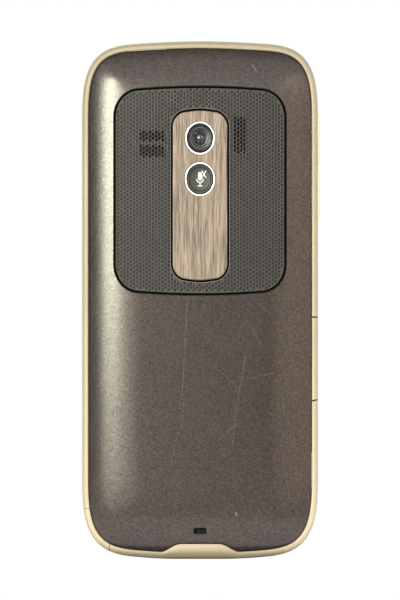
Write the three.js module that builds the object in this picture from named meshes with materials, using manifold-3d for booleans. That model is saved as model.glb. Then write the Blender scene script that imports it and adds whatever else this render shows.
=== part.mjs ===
// Slider phone with a tilting display and a keyboard under it, standing on its bottom end.
// Z runs from the bottom end to the top end, the back cover looks along -Y and the display along +Y.
// Lengths are in millimetres.
import * as THREE from 'three';
import { mergeVertices } from 'three/addons/utils/BufferGeometryUtils.js';
import Module from 'manifold-3d';

const wasm = await Module();
wasm.setup();

// Whole phone
const phoneWidth = 59.2;
const phoneLength = 116;
const phoneDepth = 17.25;
const baseDepth = 10.3;
const splitGap = 0.3;

// Gaps and walls used all over
const seam = 0.15;
const guideGap = 0.1;
const clearance = 0.3;
const overrun = 3;
const wall = 1.5;
const thinWall = 0.4;

// Outline: rounded corners that start gently, and slightly bowed ends
const cornerWidth = 14.9;
const cornerHeight = 17.8;
const cornerPower = 3.4;
const topBow = 1.54;
const bottomBow = 1.93;
const bowPower = 1.65;
const standHalf = 6.5;
const deepestOffset = 6.5;
const outlineStep = 14;
const outlineTurn = Math.PI / 22;

// Back cover
const coverThickness = 1;
const coverCrown = 1.75;
const coverReach = 10;
const coverCrownPower = 2.2;
const coverRimDepth = 2.7;
const crownShares = [0.1, 0.3, 0.52, 0.76, 1];

// Frame around the rear half
const frameRound = 3.2;
const frameLip = 0.12;
const rimChamfer = 0.35;
const chinHalf = 4.75;
const chinShoulder = 5.6;
const chinTop = 3.36;
const chinProud = 0.3;
const chinDepth = 1.1;

// Speaker panel and camera strip
const panelSide = 8.15;
const panelTop = 10.2;
const panelLength = 46.6;
const panelCorner = 6.2;
const panelBow = 1.1;
const panelSink = 0.3;
const stripHalf = 6.9;
const stripBelow = 3.2;
const stripAbove = 5.3;
const stripCorner = 5;
const stripBow = 0.7;
const stripSink = 0.17;
const soundHoleRadius = 0.2;
const dimplePitchX = 0.79;
const dimplePitchZ = 0.905;
const soundSide = 8;
const soundDrop = 15.2;
const upperSoundRow = 4;
const rightSoundRow = 1;
const rightSoundColumn = 30;

// Camera and mute button
const cameraDrop = 6.2;
const cameraRingRadius = 3.75;
const muteRingRadius = 3.85;
const ringSpace = 1.6;
const ringWidth = 0.5;
const ringRound = 0.16;
const windowThickness = 0.5;
const windowSink = 0.45;
const windowLedge = 0.25;
const lensRadius = 2.9;
const lensStepShares = [0.82, 0.6, 0.4];
const moduleHalf = 4.2;
const moduleDepth = 2.9;
const muteTravel = 0.3;
const muteSwitchHalf = 2.4;
const grooveWidth = 0.3;
const grooveDepth = 0.15;

// Strap slot
const strapHeight = 6.25;
const strapWidth = 3.4;
const strapSlot = 1.46;
const strapDepth = 2.2;
const strapRoomShare = 0.65;

// Chassis, battery and boards
const chassisGap = 0.3;
const coverAir = 0.2;
const stepInset = 2.95;
const platformThickness = 0.85;
const floorThickness = 1.5;
const boardThickness = 0.8;
const boardInset = 3.7;
const pocketInset = 3.3;
const baySide = 7.6;
const bayLow = 9.6;
const bayWall = 3.8;
const batteryCorner = 1.5;
const roomSide = 6.2;
const roomShift = 1.2;
const contactHalf = 5;
const contactLength = 1.4;
const contactHeight = 1.7;
const bladeShare = 0.6;

// Keyboard side of the rear half
const railRoof = 0.275;
const railFloor = 0.8;
const railWeb = 1;
const railSlot = 1.6;
const railSide = 3.4;
const railInset = 7.6;
const deckThickness = 0.8;
const matThickness = 0.5;
const domeThickness = 0.2;
const keyRows = 5;
const keyColumns = 11;
const keyRowPitch = 5.9;
const keyGap = 0.8;
const keyboardSide = 3.5;
const keyboardEnd = 12.35;
const keyBevel = 0.25;
const spaceKeyFirst = 4;
const spaceKeyColumns = 3;

// Slide carriage and tilt hinge
const plateSide = 2.6;
const plateWidth = 20.5;
const plateThickness = 0.5;
const plateCorner = 2;
const lightSide = 4;
const lightHingeSide = 5;
const lightEnd = 14;
const lightBar = 4;
const hingeReach = 2.4;
const knuckleRadius = 1.3;
const knuckleBore = 0.7;
const pinRadius = 0.62;
const knuckleLength = 8;
const hingeEnd = 20;
const armThickness = 1.3;
const armReach = 1.5;
const earLength = 1.5;

// Display half
const trayDepth = 4.225;
const trayFloor = 1;
const shellWall = 1.6;
const bezelPlate = 1.5;
const bezelRound = 0.9;
const bezelStep = 0.35;
const glassProud = 0.125;
const glassSide = 3;
const glassLow = 18.2;
const glassTop = 8.6;
const glassCorner = 3;
const glassBow = 0.6;
const glassThickness = 1.1;
const panelBoard = 0.6;
const lcdSide = 1.4;
const lcdBelow = 1.3;
const lcdAbove = 1.9;
const lcdGap = 0.2;
const zoomSide = 6.6;
const zoomDrop = 3.3;
const zoomWidth = 1.8;
const zoomThickness = 0.8;
const frontKeyLow = 5;
const frontKeyHigh = 11.8;
const frontKeyCorner = 1.2;
const keyBankSide = 3;
const keyBankMiddle = 1.2;
const frontKeySpace = 0.8;
const innerKeyWidth = 9.8;
const frontKeyFlange = 0.5;
const frontKeyTravel = 0.3;
const flangeGap = 0.05;
const earDrop = 5.4;
const earHalf = 7.2;
const earWidth = 1.5;
const earSlits = 9;
const earSlitWidth = 0.35;
const earSlitShare = 0.28;
const receiverHalf = 6.4;
const frontCameraSide = 10.6;
const frontCameraHalf = 2.5;
const frontCameraRadius = 1.6;
const sensorRadius = 0.8;

// Stylus in its bore, with the frame's corner for a cap
const stylusSide = 4.7;
const stylusRadius = 1.4;
const stylusSink = 0.4;
const boreRadius = 1.65;
const stylusEnd = 17;
const stylusTip = 5;
const tipRadius = 0.35;
const pointShare = 0.85;
const capReach = 2.1;
const capTop = 11.2;
const plugDepth = 4.2;

// Volume rocker, power button, card door and sockets in the frame
const rockerDrop = 16.3;
const rockerLength = 23.8;
const rockerDepth = 3.3;
const rockerProud = 0.35;
const rockerInner = 2;
const rockerNotch = 0.45;
const rockerFlangeHalf = 2.5;
const rockerSwing = 0.6;
const sideCentre = -2.95;
const powerSide = 16.6;
const powerHalf = 5;
const powerDepth = 2.6;
const powerReach = 3;
const powerTravel = 0.4;
const powerFlange = 0.6;
const doorDrop = 4;
const doorLength = 18.15;
const doorSlant = 0.28;
const doorGap = 0.33;
const doorFront = -0.9;
const cardRise = 3.15;
const cardWidth = 11;
const cardLength = 15;
const cardThickness = 0.7;
const cardNotchShare = 0.125;
const cardInset = 2.6;
const socketWall = 0.25;
const plugHalf = 4;
const plugHeight = 3.4;
const plugLength = 7.4;
const plugInset = 0.6;
const plugShell = 0.35;
const tongueShare = 0.62;
const micX = 9.5;
const micRadius = 0.4;

// Loose parts in the component room
const speakerSide = 3.1;
const speakerWidth = 12;
const speakerBelow = 3.9;
const speakerLength = 14;
const tweeterSide = 2.6;
const tweeterWidth = 8;
const tweeterBelow = 2.1;
const tweeterLength = 11;
const membraneShare = 0.4;
const canHeight = 2;
const canRise = 1.6;
const canDrop = 5.6;
const canSide = 3.4;
const motorX = 9;
const motorLength = 9;
const motorRadius = 1.9;
const motorDrop = 2.7;
const screwHeadRadius = 1.6;
const screwShaftRadius = 0.7;
const screwHeadHeight = 0.7;
const screwLength = 3.6;
const screwSink = 0.9;
const screwSide = 14.6;
const screwInset = 7.1;
const crossLength = 1.7;
const crossWidth = 0.35;

// Levels along Y, from the back to the front
const backFace = -phoneDepth / 2;
const frontFace = phoneDepth / 2;
const rimTop = backFace + baseDepth;
const displayFloor = rimTop + splitGap;
const plateTop = rimTop - railRoof - guideGap;
const plateUnder = plateTop - plateThickness;
const deckTop = plateUnder - guideGap - railFloor;
const keyTop = plateUnder - clearance;
const deckUnder = deckTop - deckThickness;
const matUnder = deckUnder - matThickness;
const domeUnder = matUnder - domeThickness;
const boardUnder = domeUnder - boardThickness;
const bayFloor = boardUnder - floorThickness;
const chassisBack = backFace + coverThickness + coverAir;
const coverEdge = backFace + coverCrown;
const coverRim = backFace + coverRimDepth;
const lipBack = coverEdge - frameLip;
const chassisStep = coverRim + coverAir;
const trayTop = displayFloor + trayDepth;
const bezelTop = frontFace - glassProud;
const bezelUnder = bezelTop - bezelPlate;
const trayInner = displayFloor + trayFloor;

// Places worked out from the sizes above
const halfWidth = phoneWidth / 2;
const halfLength = phoneLength / 2;
const innerWall = halfWidth - wall;
const coverInset = wall + seam;
const chassisInset = wall + chassisGap;
const hingeX = halfWidth - hingeReach;
const hingeY = displayFloor + hingeReach;
const stylusY = bayFloor - stylusSink;
const panelHalf = halfWidth - panelSide;
const panelHigh = phoneLength - panelTop;
const panelLow = panelHigh - panelLength;
const stripLow = panelLow + stripBelow;
const stripHigh = panelHigh - stripAbove;
const cameraHeight = stripHigh - cameraDrop;
const muteHeight = cameraHeight - cameraRingRadius - muteRingRadius - ringSpace;
const roomHalf = halfWidth - roomSide;
const roomLow = panelLow + roomShift;
const roomHigh = panelHigh + roomShift;
const bayHalf = halfWidth - baySide;
const bayHigh = roomLow - bayWall;
const canHalf = roomHalf - canSide;
const canLow = roomLow + canRise;
const canHigh = muteHeight - canDrop;
const motorHeight = roomHigh - motorDrop;
const screwX = halfWidth - screwSide;
const railHalf = halfWidth - railSide;
const keyColumnPitch = (phoneLength - 2 * keyboardEnd) / keyColumns;
const keyboardLeft = halfWidth - keyboardSide - keyRows * keyRowPitch;
const plateRight = halfWidth - plateSide;
const plateLeft = plateRight - plateWidth;
const lightLeft = plateLeft + lightSide;
const lightRight = plateRight - lightHingeSide;
const hingeOffset = halfLength - hingeEnd;
const lightLength = hingeOffset - lightEnd;
const lightOffset = lightBar + lightLength / 2;
const glassHalf = halfWidth - glassSide;
const glassHigh = phoneLength - glassTop;
const lcdHalf = glassHalf - lcdSide;
const lcdLow = glassLow + lcdBelow;
const lcdHigh = glassHigh - lcdAbove;
const zoomHalf = glassHalf - zoomSide;
const zoomHeight = glassLow - zoomDrop;
const innerKeyCentre = (keyBankMiddle + innerKeyWidth) / 2;
const outerKeyStart = innerKeyCentre + innerKeyWidth / 2 + frontKeySpace;
const outerKeyWidth = glassHalf - keyBankSide - outerKeyStart;
const outerKeyCentre = outerKeyStart + outerKeyWidth / 2;
const earHeight = phoneLength - earDrop;
const frontCameraX = glassHalf - frontCameraSide;
const stylusX = stylusSide - halfWidth;
const stylusTop = phoneLength - stylusEnd;
const capInner = stylusX + capReach;
const rockerHigh = phoneLength - rockerDrop;
const rockerLow = rockerHigh - rockerLength;
const powerX = powerSide - halfWidth;
const doorHigh = halfLength - doorDrop;
const doorLow = doorHigh - doorLength;
const cardLow = doorLow + cardRise;

const round = 20;
const smallRound = 12;
const holeRound = 6;
const weldShare = 1e-6;

// Closed body from points and triangles, turned so that its faces look outwards
function body(positions, triangles) {
  const corner = (index) => new THREE.Vector3().fromArray(positions, 3 * index);
  let volume = 0;
  for (let i = 0; i < triangles.length; i += 3) {
    const [a, b, c] = [corner(triangles[i]), corner(triangles[i + 1]), corner(triangles[i + 2])];
    volume += a.dot(b.cross(c));
  }
  const facing = volume < 0 ? triangles.slice().reverse() : triangles;
  const mesh = new wasm.Mesh({
    numProp: 3,
    vertProperties: new Float32Array(positions),
    triVerts: new Uint32Array(facing),
  });
  return new wasm.Manifold(mesh);
}

// Body from a three.js geometry, with its seams welded and its flat triangles dropped
function welded(geometry) {
  geometry.deleteAttribute('normal');
  geometry.deleteAttribute('uv');
  const merged = mergeVertices(geometry, phoneLength * weldShare);
  const kept = [];
  for (let i = 0; i < merged.index.count; i += 3) {
    const face = [0, 1, 2].map((step) => merged.index.getX(i + step));
    if (new Set(face).size === face.length) kept.push(...face);
  }
  return body(Array.from(merged.attributes.position.array), kept);
}

function box(left, right, back, front, low, high) {
  const geometry = new THREE.BoxGeometry(right - left, front - back, high - low);
  geometry.translate((left + right) / 2, (back + front) / 2, (low + high) / 2);
  return welded(geometry);
}

// Plate with the given outline in X and Z
function slab(points, back, front) {
  const geometry = new THREE.ExtrudeGeometry(new THREE.Shape(points), {
    depth: front - back,
    bevelEnabled: false,
  });
  geometry.rotateX(Math.PI / 2);
  geometry.translate(0, front, 0);
  return welded(geometry);
}

// Bar along X with the given outline in Y and Z
function barAlongX(points, left, right) {
  const geometry = new THREE.ExtrudeGeometry(new THREE.Shape(points), {
    depth: right - left,
    bevelEnabled: false,
  });
  geometry.rotateX(Math.PI / 2);
  geometry.rotateZ(Math.PI / 2);
  geometry.translate(left, 0, 0);
  return welded(geometry);
}

// Round body about an axis along Y; the profile is a closed list of radius and level
function turned(profile, x, z, sides) {
  const points = profile.map(([radius, level]) => new THREE.Vector2(radius, level));
  const geometry = new THREE.LatheGeometry(points, sides);
  geometry.translate(x, 0, z);
  return welded(geometry);
}

function discAlongY(radius, x, z, back, front, sides) {
  return turned([[0, back], [radius, back], [radius, front], [0, front]], x, z, sides);
}

// Round bar along Z, its ends of two radii
function barAlongZ(lowRadius, highRadius, x, y, low, high, sides) {
  const geometry = new THREE.CylinderGeometry(highRadius, lowRadius, high - low, sides);
  geometry.rotateX(Math.PI / 2);
  geometry.translate(x, y, (low + high) / 2);
  return welded(geometry);
}

// How far the bowed end has dropped at a distance from the middle
function bowDrop(x, bow, flatHalf) {
  return bow * (Math.max(0, x - flatHalf) / (halfWidth - flatHalf)) ** bowPower;
}

// Right half of the outline, from the middle of the top end to the middle of the bottom end
function denseOutline() {
  const steps = 160;
  const shares = Array.from({ length: steps }, (_, i) => i / steps);
  const flatEnd = halfWidth - cornerWidth;
  const corner = (angle) => [
    flatEnd + cornerWidth * Math.cos(angle) ** (2 / cornerPower),
    cornerHeight * (1 - Math.sin(angle) ** (2 / cornerPower)),
  ];
  const quarter = [
    ...shares.map((share) => [flatEnd * share, 0]),
    ...shares.map((share) => corner((1 - share) * Math.PI / 2)),
  ];
  const top = quarter.map(([x, drop]) => new THREE.Vector2(x, phoneLength - drop - bowDrop(x, topBow, 0)));
  const bottom = quarter.map(([x, rise]) => new THREE.Vector2(x, rise + bowDrop(x, bottomBow, standHalf)));
  const sideTop = phoneLength - cornerHeight - topBow;
  const sideBottom = cornerHeight + bottomBow;
  const side = shares.map((share) => new THREE.Vector2(halfWidth, sideTop + (sideBottom - sideTop) * share));
  return [...top, ...side, ...bottom.reverse()];
}

// Points of the outline with their outward directions, closer together where it turns
function outlineStations() {
  const dense = denseOutline();
  const last = dense.length - 1;
  const along = (i) => dense[Math.min(i + 1, last)].clone().sub(dense[Math.max(i - 1, 0)]).normalize();
  const outward = (i) => new THREE.Vector2(-along(i).y, along(i).x);
  const half = [];
  let spent = 1;
  for (let i = 0; i <= last; i += 1) {
    if (spent >= 1 && i < last - 1) {
      half.push({ point: dense[i], normal: outward(i) });
      spent = 0;
    }
    if (i < last) {
      const turn = along(i).angleTo(along(i + 1));
      spent += dense[i].distanceTo(dense[i + 1]) / outlineStep + turn / outlineTurn;
    }
  }
  half[0].normal.set(0, 1);
  half.push({ point: dense[last], normal: new THREE.Vector2(0, -1) });
  const mirrored = half.slice(1, -1).reverse().map(({ point, normal }) => ({
    point: new THREE.Vector2(-point.x, point.y),
    normal: new THREE.Vector2(-normal.x, normal.y),
  }));
  return [...half, ...mirrored];
}

const stations = outlineStations();

// The phone's outline drawn in by an inset; beyond the tightest corner it shrinks instead
function outlineAt(inset) {
  const offset = Math.min(inset, deepestOffset);
  const shrinkX = (halfWidth - inset) / (halfWidth - offset);
  const shrinkZ = (halfLength - inset) / (halfLength - offset);
  return stations.map(({ point, normal }) => new THREE.Vector2(
    (point.x - normal.x * offset) * shrinkX,
    halfLength + (point.y - normal.y * offset - halfLength) * shrinkZ,
  ));
}

// Skin through outlines at successive insets and levels, closed by end faces or in a loop
function lofted(levels, looped) {
  const rings = levels.map(([inset, level]) => outlineAt(inset).map((at) => [at.x, level, at.y]));
  const count = stations.length;
  const triangles = [];
  const joins = looped ? rings.length : rings.length - 1;
  for (let level = 0; level < joins; level += 1) {
    const lower = level * count;
    const upper = ((level + 1) % rings.length) * count;
    for (let i = 0; i < count; i += 1) {
      const next = (i + 1) % count;
      triangles.push(lower + i, lower + next, upper + next);
      triangles.push(lower + i, upper + next, upper + i);
    }
  }
  const lastRing = (rings.length - 1) * count;
  for (let i = 1; i < count - 1 && !looped; i += 1) {
    triangles.push(0, i + 1, i);
    triangles.push(lastRing, lastRing + i, lastRing + i + 1);
  }
  return body(rings.flat(2), triangles);
}

function outlineSlab(inset, back, front) {
  return lofted([[inset, back], [inset, front]], false);
}

// Upright panel outline with bowed ends and round corners, grown by a margin
function panelOutline({ half, low, high, corner, bow }, margin) {
  const turn = corner + margin;
  const flat = half - corner;
  const drop = (x) => bow * (x / half) ** 2;
  const cornerSteps = 6;
  const edgeSteps = 3;
  const quarter = [];
  for (let i = 0; i < edgeSteps; i += 1) {
    const x = flat * i / edgeSteps;
    quarter.push([x, drop(x) - margin]);
  }
  for (let i = 0; i <= cornerSteps; i += 1) {
    const angle = (i / cornerSteps) * Math.PI / 2;
    quarter.push([flat + turn * Math.sin(angle), drop(flat) + corner - turn * Math.cos(angle)]);
  }
  const lower = quarter.map(([x, rise]) => new THREE.Vector2(x, low + rise));
  const upper = quarter.map(([x, rise]) => new THREE.Vector2(x, high - rise)).reverse();
  const right = [...lower, ...upper];
  const left = right.slice(1, -1).reverse().map((at) => new THREE.Vector2(-at.x, at.y));
  return [...right, ...left];
}

// Rectangle with round corners, such as a key or a slot
function roundedOutline(left, right, low, high, corner) {
  const steps = 4;
  const centres = [
    [right - corner, high - corner],
    [left + corner, high - corner],
    [left + corner, low + corner],
    [right - corner, low + corner],
  ];
  return centres.flatMap(([x, z], side) => Array.from({ length: steps + 1 }, (_, i) => {
    const angle = (side + i / steps) * Math.PI / 2;
    return new THREE.Vector2(x + corner * Math.cos(angle), z + corner * Math.sin(angle));
  }));
}

const windowShape = { half: panelHalf, low: panelLow, high: panelHigh, corner: panelCorner, bow: panelBow };
const stripShape = { half: stripHalf, low: stripLow, high: stripHigh, corner: stripCorner, bow: stripBow };
const glassShape = { half: glassHalf, low: glassLow, high: glassHigh, corner: glassCorner, bow: glassBow };

// Level of the crowned back cover, as far in from the outline as the share of its reach
function crownLevel(share, shift) {
  return [coverInset + coverReach * share, backFace + shift + coverCrown * (1 - share) ** coverCrownPower];
}

// Bump of the frame under the middle of the back cover, from its own outline
function chin(margin, back, front) {
  const steps = 5;
  const right = Array.from({ length: steps + 1 }, (_, i) => {
    const share = i / steps;
    const fall = (1 - Math.cos(Math.PI * share)) / 2;
    const z = chinTop + (wall - chinTop) * fall;
    return new THREE.Vector2(chinHalf + margin + chinShoulder * share, z + margin);
  });
  const left = right.map((at) => new THREE.Vector2(-at.x, at.y)).reverse();
  const outer = chinHalf + margin + chinShoulder;
  const base = [new THREE.Vector2(outer, 0), new THREE.Vector2(-outer, 0)];
  return slab([...left, ...right, ...base], back, front);
}

function doorOutline(margin) {
  const outer = halfWidth + overrun;
  const inner = innerWall - seam;
  const slope = doorSlant / wall;
  return [
    new THREE.Vector2(inner, doorLow - slope * (halfWidth - inner) - margin),
    new THREE.Vector2(outer, doorLow + slope * overrun - margin),
    new THREE.Vector2(outer, doorHigh + margin),
    new THREE.Vector2(inner, doorHigh + margin),
  ];
}

// Rounded back edge of the frame, standing out by a margin at its inner side
function roundedEdge(margin) {
  const steps = 4;
  return Array.from({ length: steps + 1 }, (_, i) => {
    const angle = (i / steps) * Math.PI / 2;
    const depth = frameRound + margin;
    return [wall * (1 - Math.sin(angle)), lipBack - margin + depth * (1 - Math.cos(angle))];
  });
}

// The rear half's side wall all the way round, before anything is cut from it
function wallRing() {
  const rim = [[0, rimTop - rimChamfer], [rimChamfer, rimTop], [wall, rimTop]];
  return lofted([...roundedEdge(0), ...rim], true);
}

function capRegion(margin) {
  const reach = halfWidth + overrun;
  return box(-reach, capInner + margin, backFace, frontFace, -overrun, capTop + margin);
}

function baseFrame() {
  const reach = halfWidth + overrun;
  const rockerHalf = rockerDepth / 2 + seam;
  const powerHalfDepth = powerDepth / 2 + seam;
  return wallRing()
    .add(chin(0, lipBack - chinProud, lipBack + chinDepth).intersect(lofted(roundedEdge(chinProud), false)))
    .subtract(capRegion(seam))
    .subtract(slab(doorOutline(doorGap), backFace, doorFront + seam))
    .subtract(box(
      innerWall - overrun, reach, sideCentre - rockerHalf, sideCentre + rockerHalf,
      rockerLow - seam, rockerHigh + seam,
    ))
    .subtract(box(
      powerX - powerHalf - seam, powerX + powerHalf + seam,
      sideCentre - powerHalfDepth, sideCentre + powerHalfDepth,
      phoneLength - overrun - wall, phoneLength + overrun,
    ))
    .subtract(box(
      -plugHalf - seam, plugHalf + seam, deckUnder - guideGap - plugHeight - seam, deckUnder,
      -overrun, wall + overrun,
    ))
    .subtract(barAlongZ(micRadius, micRadius, micX, sideCentre, -overrun, wall + overrun, holeRound));
}

function batteryCover() {
  const outer = [0, ...crownShares].map((share) => crownLevel(share, 0)).reverse();
  const rim = [[coverInset, coverRim], [coverInset + coverThickness, coverRim]];
  const inner = crownShares.map((share) => crownLevel(share, coverThickness));
  const strap = roundedOutline(
    -strapWidth / 2, strapWidth / 2, strapHeight - strapSlot / 2, strapHeight + strapSlot / 2, strapSlot / 2,
  );
  return lofted([...outer, ...rim, ...inner], false)
    .subtract(slab(panelOutline(windowShape, seam), backFace - overrun, coverRim))
    .subtract(chin(seam, backFace - overrun, coverRim + overrun))
    .subtract(slab(strap, backFace - overrun, coverRim));
}

// Groups of sound holes; their odd columns sit half a row lower and may have a row more
const leftSound = {
  left: -stripHalf - soundSide, columns: 8, low: panelHigh - soundDrop, rows: 3, oddRows: 3,
};
const upperSound = { ...leftSound, low: leftSound.low + upperSoundRow * dimplePitchZ, rows: 2 };
const rightSound = {
  left: leftSound.left + rightSoundColumn * dimplePitchX,
  columns: 4,
  low: leftSound.low + rightSoundRow * dimplePitchZ,
  rows: 9,
  oddRows: 9,
};

function soundHoles({ left, columns, low, rows, oddRows }) {
  const holes = [];
  for (let column = 0; column < columns; column += 1) {
    const odd = column % 2;
    for (let row = 0; row < (odd ? oddRows : rows); row += 1) {
      const x = left + column * dimplePitchX;
      const z = low + (row - odd / 2) * dimplePitchZ;
      holes.push(discAlongY(soundHoleRadius, x, z, backFace, chassisBack + overrun, holeRound));
    }
  }
  return wasm.Manifold.union(holes);
}

function speakerPanel() {
  const face = backFace + panelSink;
  return slab(panelOutline(windowShape, 0), face, chassisBack)
    .subtract(slab(panelOutline(stripShape, seam), backFace, frontFace))
    .subtract(soundHoles(leftSound))
    .subtract(soundHoles(upperSound))
    .subtract(soundHoles(rightSound));
}

function cameraPlate() {
  const face = backFace + stripSink;
  return slab(panelOutline(stripShape, 0), face, chassisBack)
    .subtract(discAlongY(cameraRingRadius + guideGap, 0, cameraHeight, backFace, frontFace, round))
    .subtract(discAlongY(muteRingRadius + guideGap, 0, muteHeight, backFace, frontFace, round));
}

function cameraRing() {
  const inner = cameraRingRadius - ringWidth;
  const ledge = inner - windowLedge;
  const ledgeLevel = backFace + windowSink + windowThickness;
  return turned([
    [cameraRingRadius, chassisBack],
    [cameraRingRadius, backFace + ringRound],
    [cameraRingRadius - ringRound, backFace],
    [inner + ringRound, backFace],
    [inner, backFace + ringRound],
    [inner, ledgeLevel],
    [ledge, ledgeLevel],
    [ledge, chassisBack],
    [cameraRingRadius, chassisBack],
  ], 0, cameraHeight, round);
}

function cameraWindow() {
  const radius = cameraRingRadius - ringWidth - guideGap;
  const face = backFace + windowSink;
  return discAlongY(radius, 0, cameraHeight, face, face + windowThickness, round);
}

// Lens barrel with stepped rings sinking towards its glass
function cameraLens() {
  const face = backFace + windowSink + windowThickness + guideGap;
  const seat = boardUnder - moduleDepth;
  const sink = (seat - face) / (2 * lensStepShares.length);
  const steps = lensStepShares.flatMap((share, i) => [
    [lensRadius * share, face + sink * i],
    [lensRadius * share, face + sink * (i + 1)],
  ]);
  const bottom = face + sink * lensStepShares.length;
  const profile = [[0, bottom], ...steps.reverse(), [lensRadius, face], [lensRadius, seat], [0, seat]];
  return turned(profile, 0, cameraHeight, round);
}

function cameraModule() {
  const back = boardUnder - moduleDepth;
  return box(-moduleHalf, moduleHalf, back, boardUnder, cameraHeight - moduleHalf, cameraHeight + moduleHalf);
}

function muteRing() {
  const inner = muteRingRadius - ringWidth;
  return turned([
    [muteRingRadius, chassisBack],
    [muteRingRadius, backFace + ringRound],
    [muteRingRadius - ringRound, backFace],
    [inner + ringRound, backFace],
    [inner, backFace + ringRound],
    [inner, chassisBack],
    [muteRingRadius, chassisBack],
  ], 0, muteHeight, round);
}

function muteButton() {
  const radius = muteRingRadius - ringWidth - seam;
  const face = backFace + stripSink;
  const groove = radius - grooveWidth;
  return turned([
    [0, face],
    [groove - grooveWidth, face],
    [groove - grooveWidth, face + grooveDepth],
    [groove, face + grooveDepth],
    [groove, face],
    [radius, face],
    [radius, chassisBack + platformThickness],
    [0, chassisBack + platformThickness],
  ], 0, muteHeight, round);
}

function muteSwitch() {
  const half = muteSwitchHalf;
  const top = chassisBack + platformThickness + muteTravel + guideGap;
  return box(-half, half, top, boardUnder, muteHeight - half, muteHeight + half);
}

const screwPlaces = [
  ['screw_top_left', -screwX, phoneLength - screwInset],
  ['screw_top_right', screwX, phoneLength - screwInset],
  ['screw_bottom_left', -screwX, screwInset],
  ['screw_bottom_right', screwX, screwInset],
];

function screw(x, z) {
  const headBack = chassisBack + screwSink;
  const headFront = headBack + screwHeadHeight;
  const shaft = turned([
    [0, headBack],
    [screwHeadRadius, headBack],
    [screwHeadRadius, headFront],
    [screwShaftRadius, headFront],
    [screwShaftRadius, headBack + screwLength],
    [0, headBack + screwLength],
  ], x, z, smallRound);
  const depth = headBack + screwHeadHeight / 2;
  const slot = (alongX, alongZ) => box(
    x - alongX / 2, x + alongX / 2, backFace, depth, z - alongZ / 2, z + alongZ / 2,
  );
  return shaft.subtract(slot(crossLength, crossWidth)).subtract(slot(crossWidth, crossLength));
}

function screwHole(x, z) {
  const headBack = chassisBack + screwSink;
  const headFront = headBack + screwHeadHeight;
  return turned([
    [0, backFace - overrun],
    [screwHeadRadius + seam, backFace - overrun],
    [screwHeadRadius + seam, headFront],
    [screwShaftRadius + seam, headFront],
    [screwShaftRadius + seam, headBack + screwLength + clearance],
    [0, headBack + screwLength + clearance],
  ], x, z, smallRound);
}

function stylusBore() {
  const reach = stylusTop + stylusTip + clearance;
  return barAlongZ(boreRadius, boreRadius, stylusX, stylusY, -overrun, reach, smallRound);
}

// Battery bay from behind, board pocket from the front and component room between them
function rearChassis() {
  const crown = crownShares.slice(1).map((share) => crownLevel(share, coverThickness + coverAir));
  const step = crownLevel((stepInset - coverInset) / coverReach, coverThickness + coverAir);
  const foot = [[chassisInset, deckUnder], [chassisInset, chassisStep], [stepInset, chassisStep]];
  const solid = lofted([...foot, step, ...crown], false);
  const rockerRoom = innerWall - rockerInner + wall - rockerSwing;
  const platform = chassisBack + platformThickness;
  const cuts = [
    outlineSlab(pocketInset, boardUnder, frontFace),
    box(-bayHalf, bayHalf, backFace - overrun, bayFloor, bayLow, bayHigh),
    box(-roomHalf, roomHalf, platform, boardUnder + overrun, roomLow, roomHigh),
    box(
      -contactHalf, contactHalf, bayFloor - contactHeight - seam, bayFloor,
      bayHigh - overrun, bayHigh + contactLength + seam,
    ),
    capRegion(clearance).subtract(
      box(-halfWidth, capInner + wall, backFace, chassisStep - seam, 0, phoneLength),
    ),
    stylusBore(),
    chin(seam, backFace - overrun, lipBack + chinDepth + seam),
    box(
      -strapWidth * strapRoomShare, strapWidth * strapRoomShare, backFace - overrun, chassisBack + strapDepth,
      strapHeight - strapSlot, strapHeight + strapSlot,
    ),
    box(
      -plugHalf - seam, plugHalf + seam, deckUnder - guideGap - plugHeight - seam, frontFace,
      -overrun, plugInset + plugLength + seam,
    ),
    box(
      rockerRoom, halfWidth, sideCentre - rockerDepth / 2 - 2 * clearance, frontFace,
      rockerLow - clearance, rockerHigh + clearance,
    ),
    box(
      powerX - powerHalf - powerFlange - seam, powerX + powerHalf + powerFlange + seam,
      sideCentre - powerDepth / 2 - powerFlange, frontFace,
      phoneLength - powerReach - powerTravel - 2 * clearance, phoneLength,
    ),
    box(
      halfWidth - cardInset - cardLength - socketWall - seam, halfWidth,
      boardUnder - cardThickness - 2 * socketWall - 2 * seam, boardUnder + seam,
      cardLow - socketWall - seam, cardLow + cardWidth + socketWall + seam,
    ),
    discAlongY(cameraRingRadius - ringWidth - seam, 0, cameraHeight, backFace, boardUnder, round),
    discAlongY(muteRingRadius - ringWidth, 0, muteHeight, backFace, boardUnder, round),
    ...soundPorts(),
    ...screwPlaces.map(([, x, z]) => screwHole(x, z)),
  ];
  return cuts.reduce((rest, cut) => rest.subtract(cut), solid);
}

// Openings of the platform behind the groups of sound holes
function soundPorts() {
  const leftEnd = leftSound.left + leftSound.columns * dimplePitchX;
  const leftTop = upperSound.low + upperSound.oddRows * dimplePitchZ;
  const rightEnd = rightSound.left + rightSound.columns * dimplePitchX;
  const rightTop = rightSound.low + rightSound.rows * dimplePitchZ;
  const edge = 2 * clearance;
  return [
    box(leftSound.left - edge, leftEnd, backFace, boardUnder, leftSound.low - edge, leftTop + edge),
    box(rightSound.left - edge, rightEnd, backFace, boardUnder, rightSound.low - edge, rightTop + edge),
  ];
}

function battery() {
  const outline = roundedOutline(
    -bayHalf + clearance, bayHalf - clearance, bayLow + clearance, bayHigh - clearance, batteryCorner,
  );
  const contactRoom = box(
    -contactHalf - seam, contactHalf + seam, bayFloor - contactHeight - clearance, frontFace,
    bayHigh - 2 * clearance - contactLength, phoneLength,
  );
  return slab(outline, chassisBack + coverAir, bayFloor).subtract(contactRoom);
}

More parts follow.
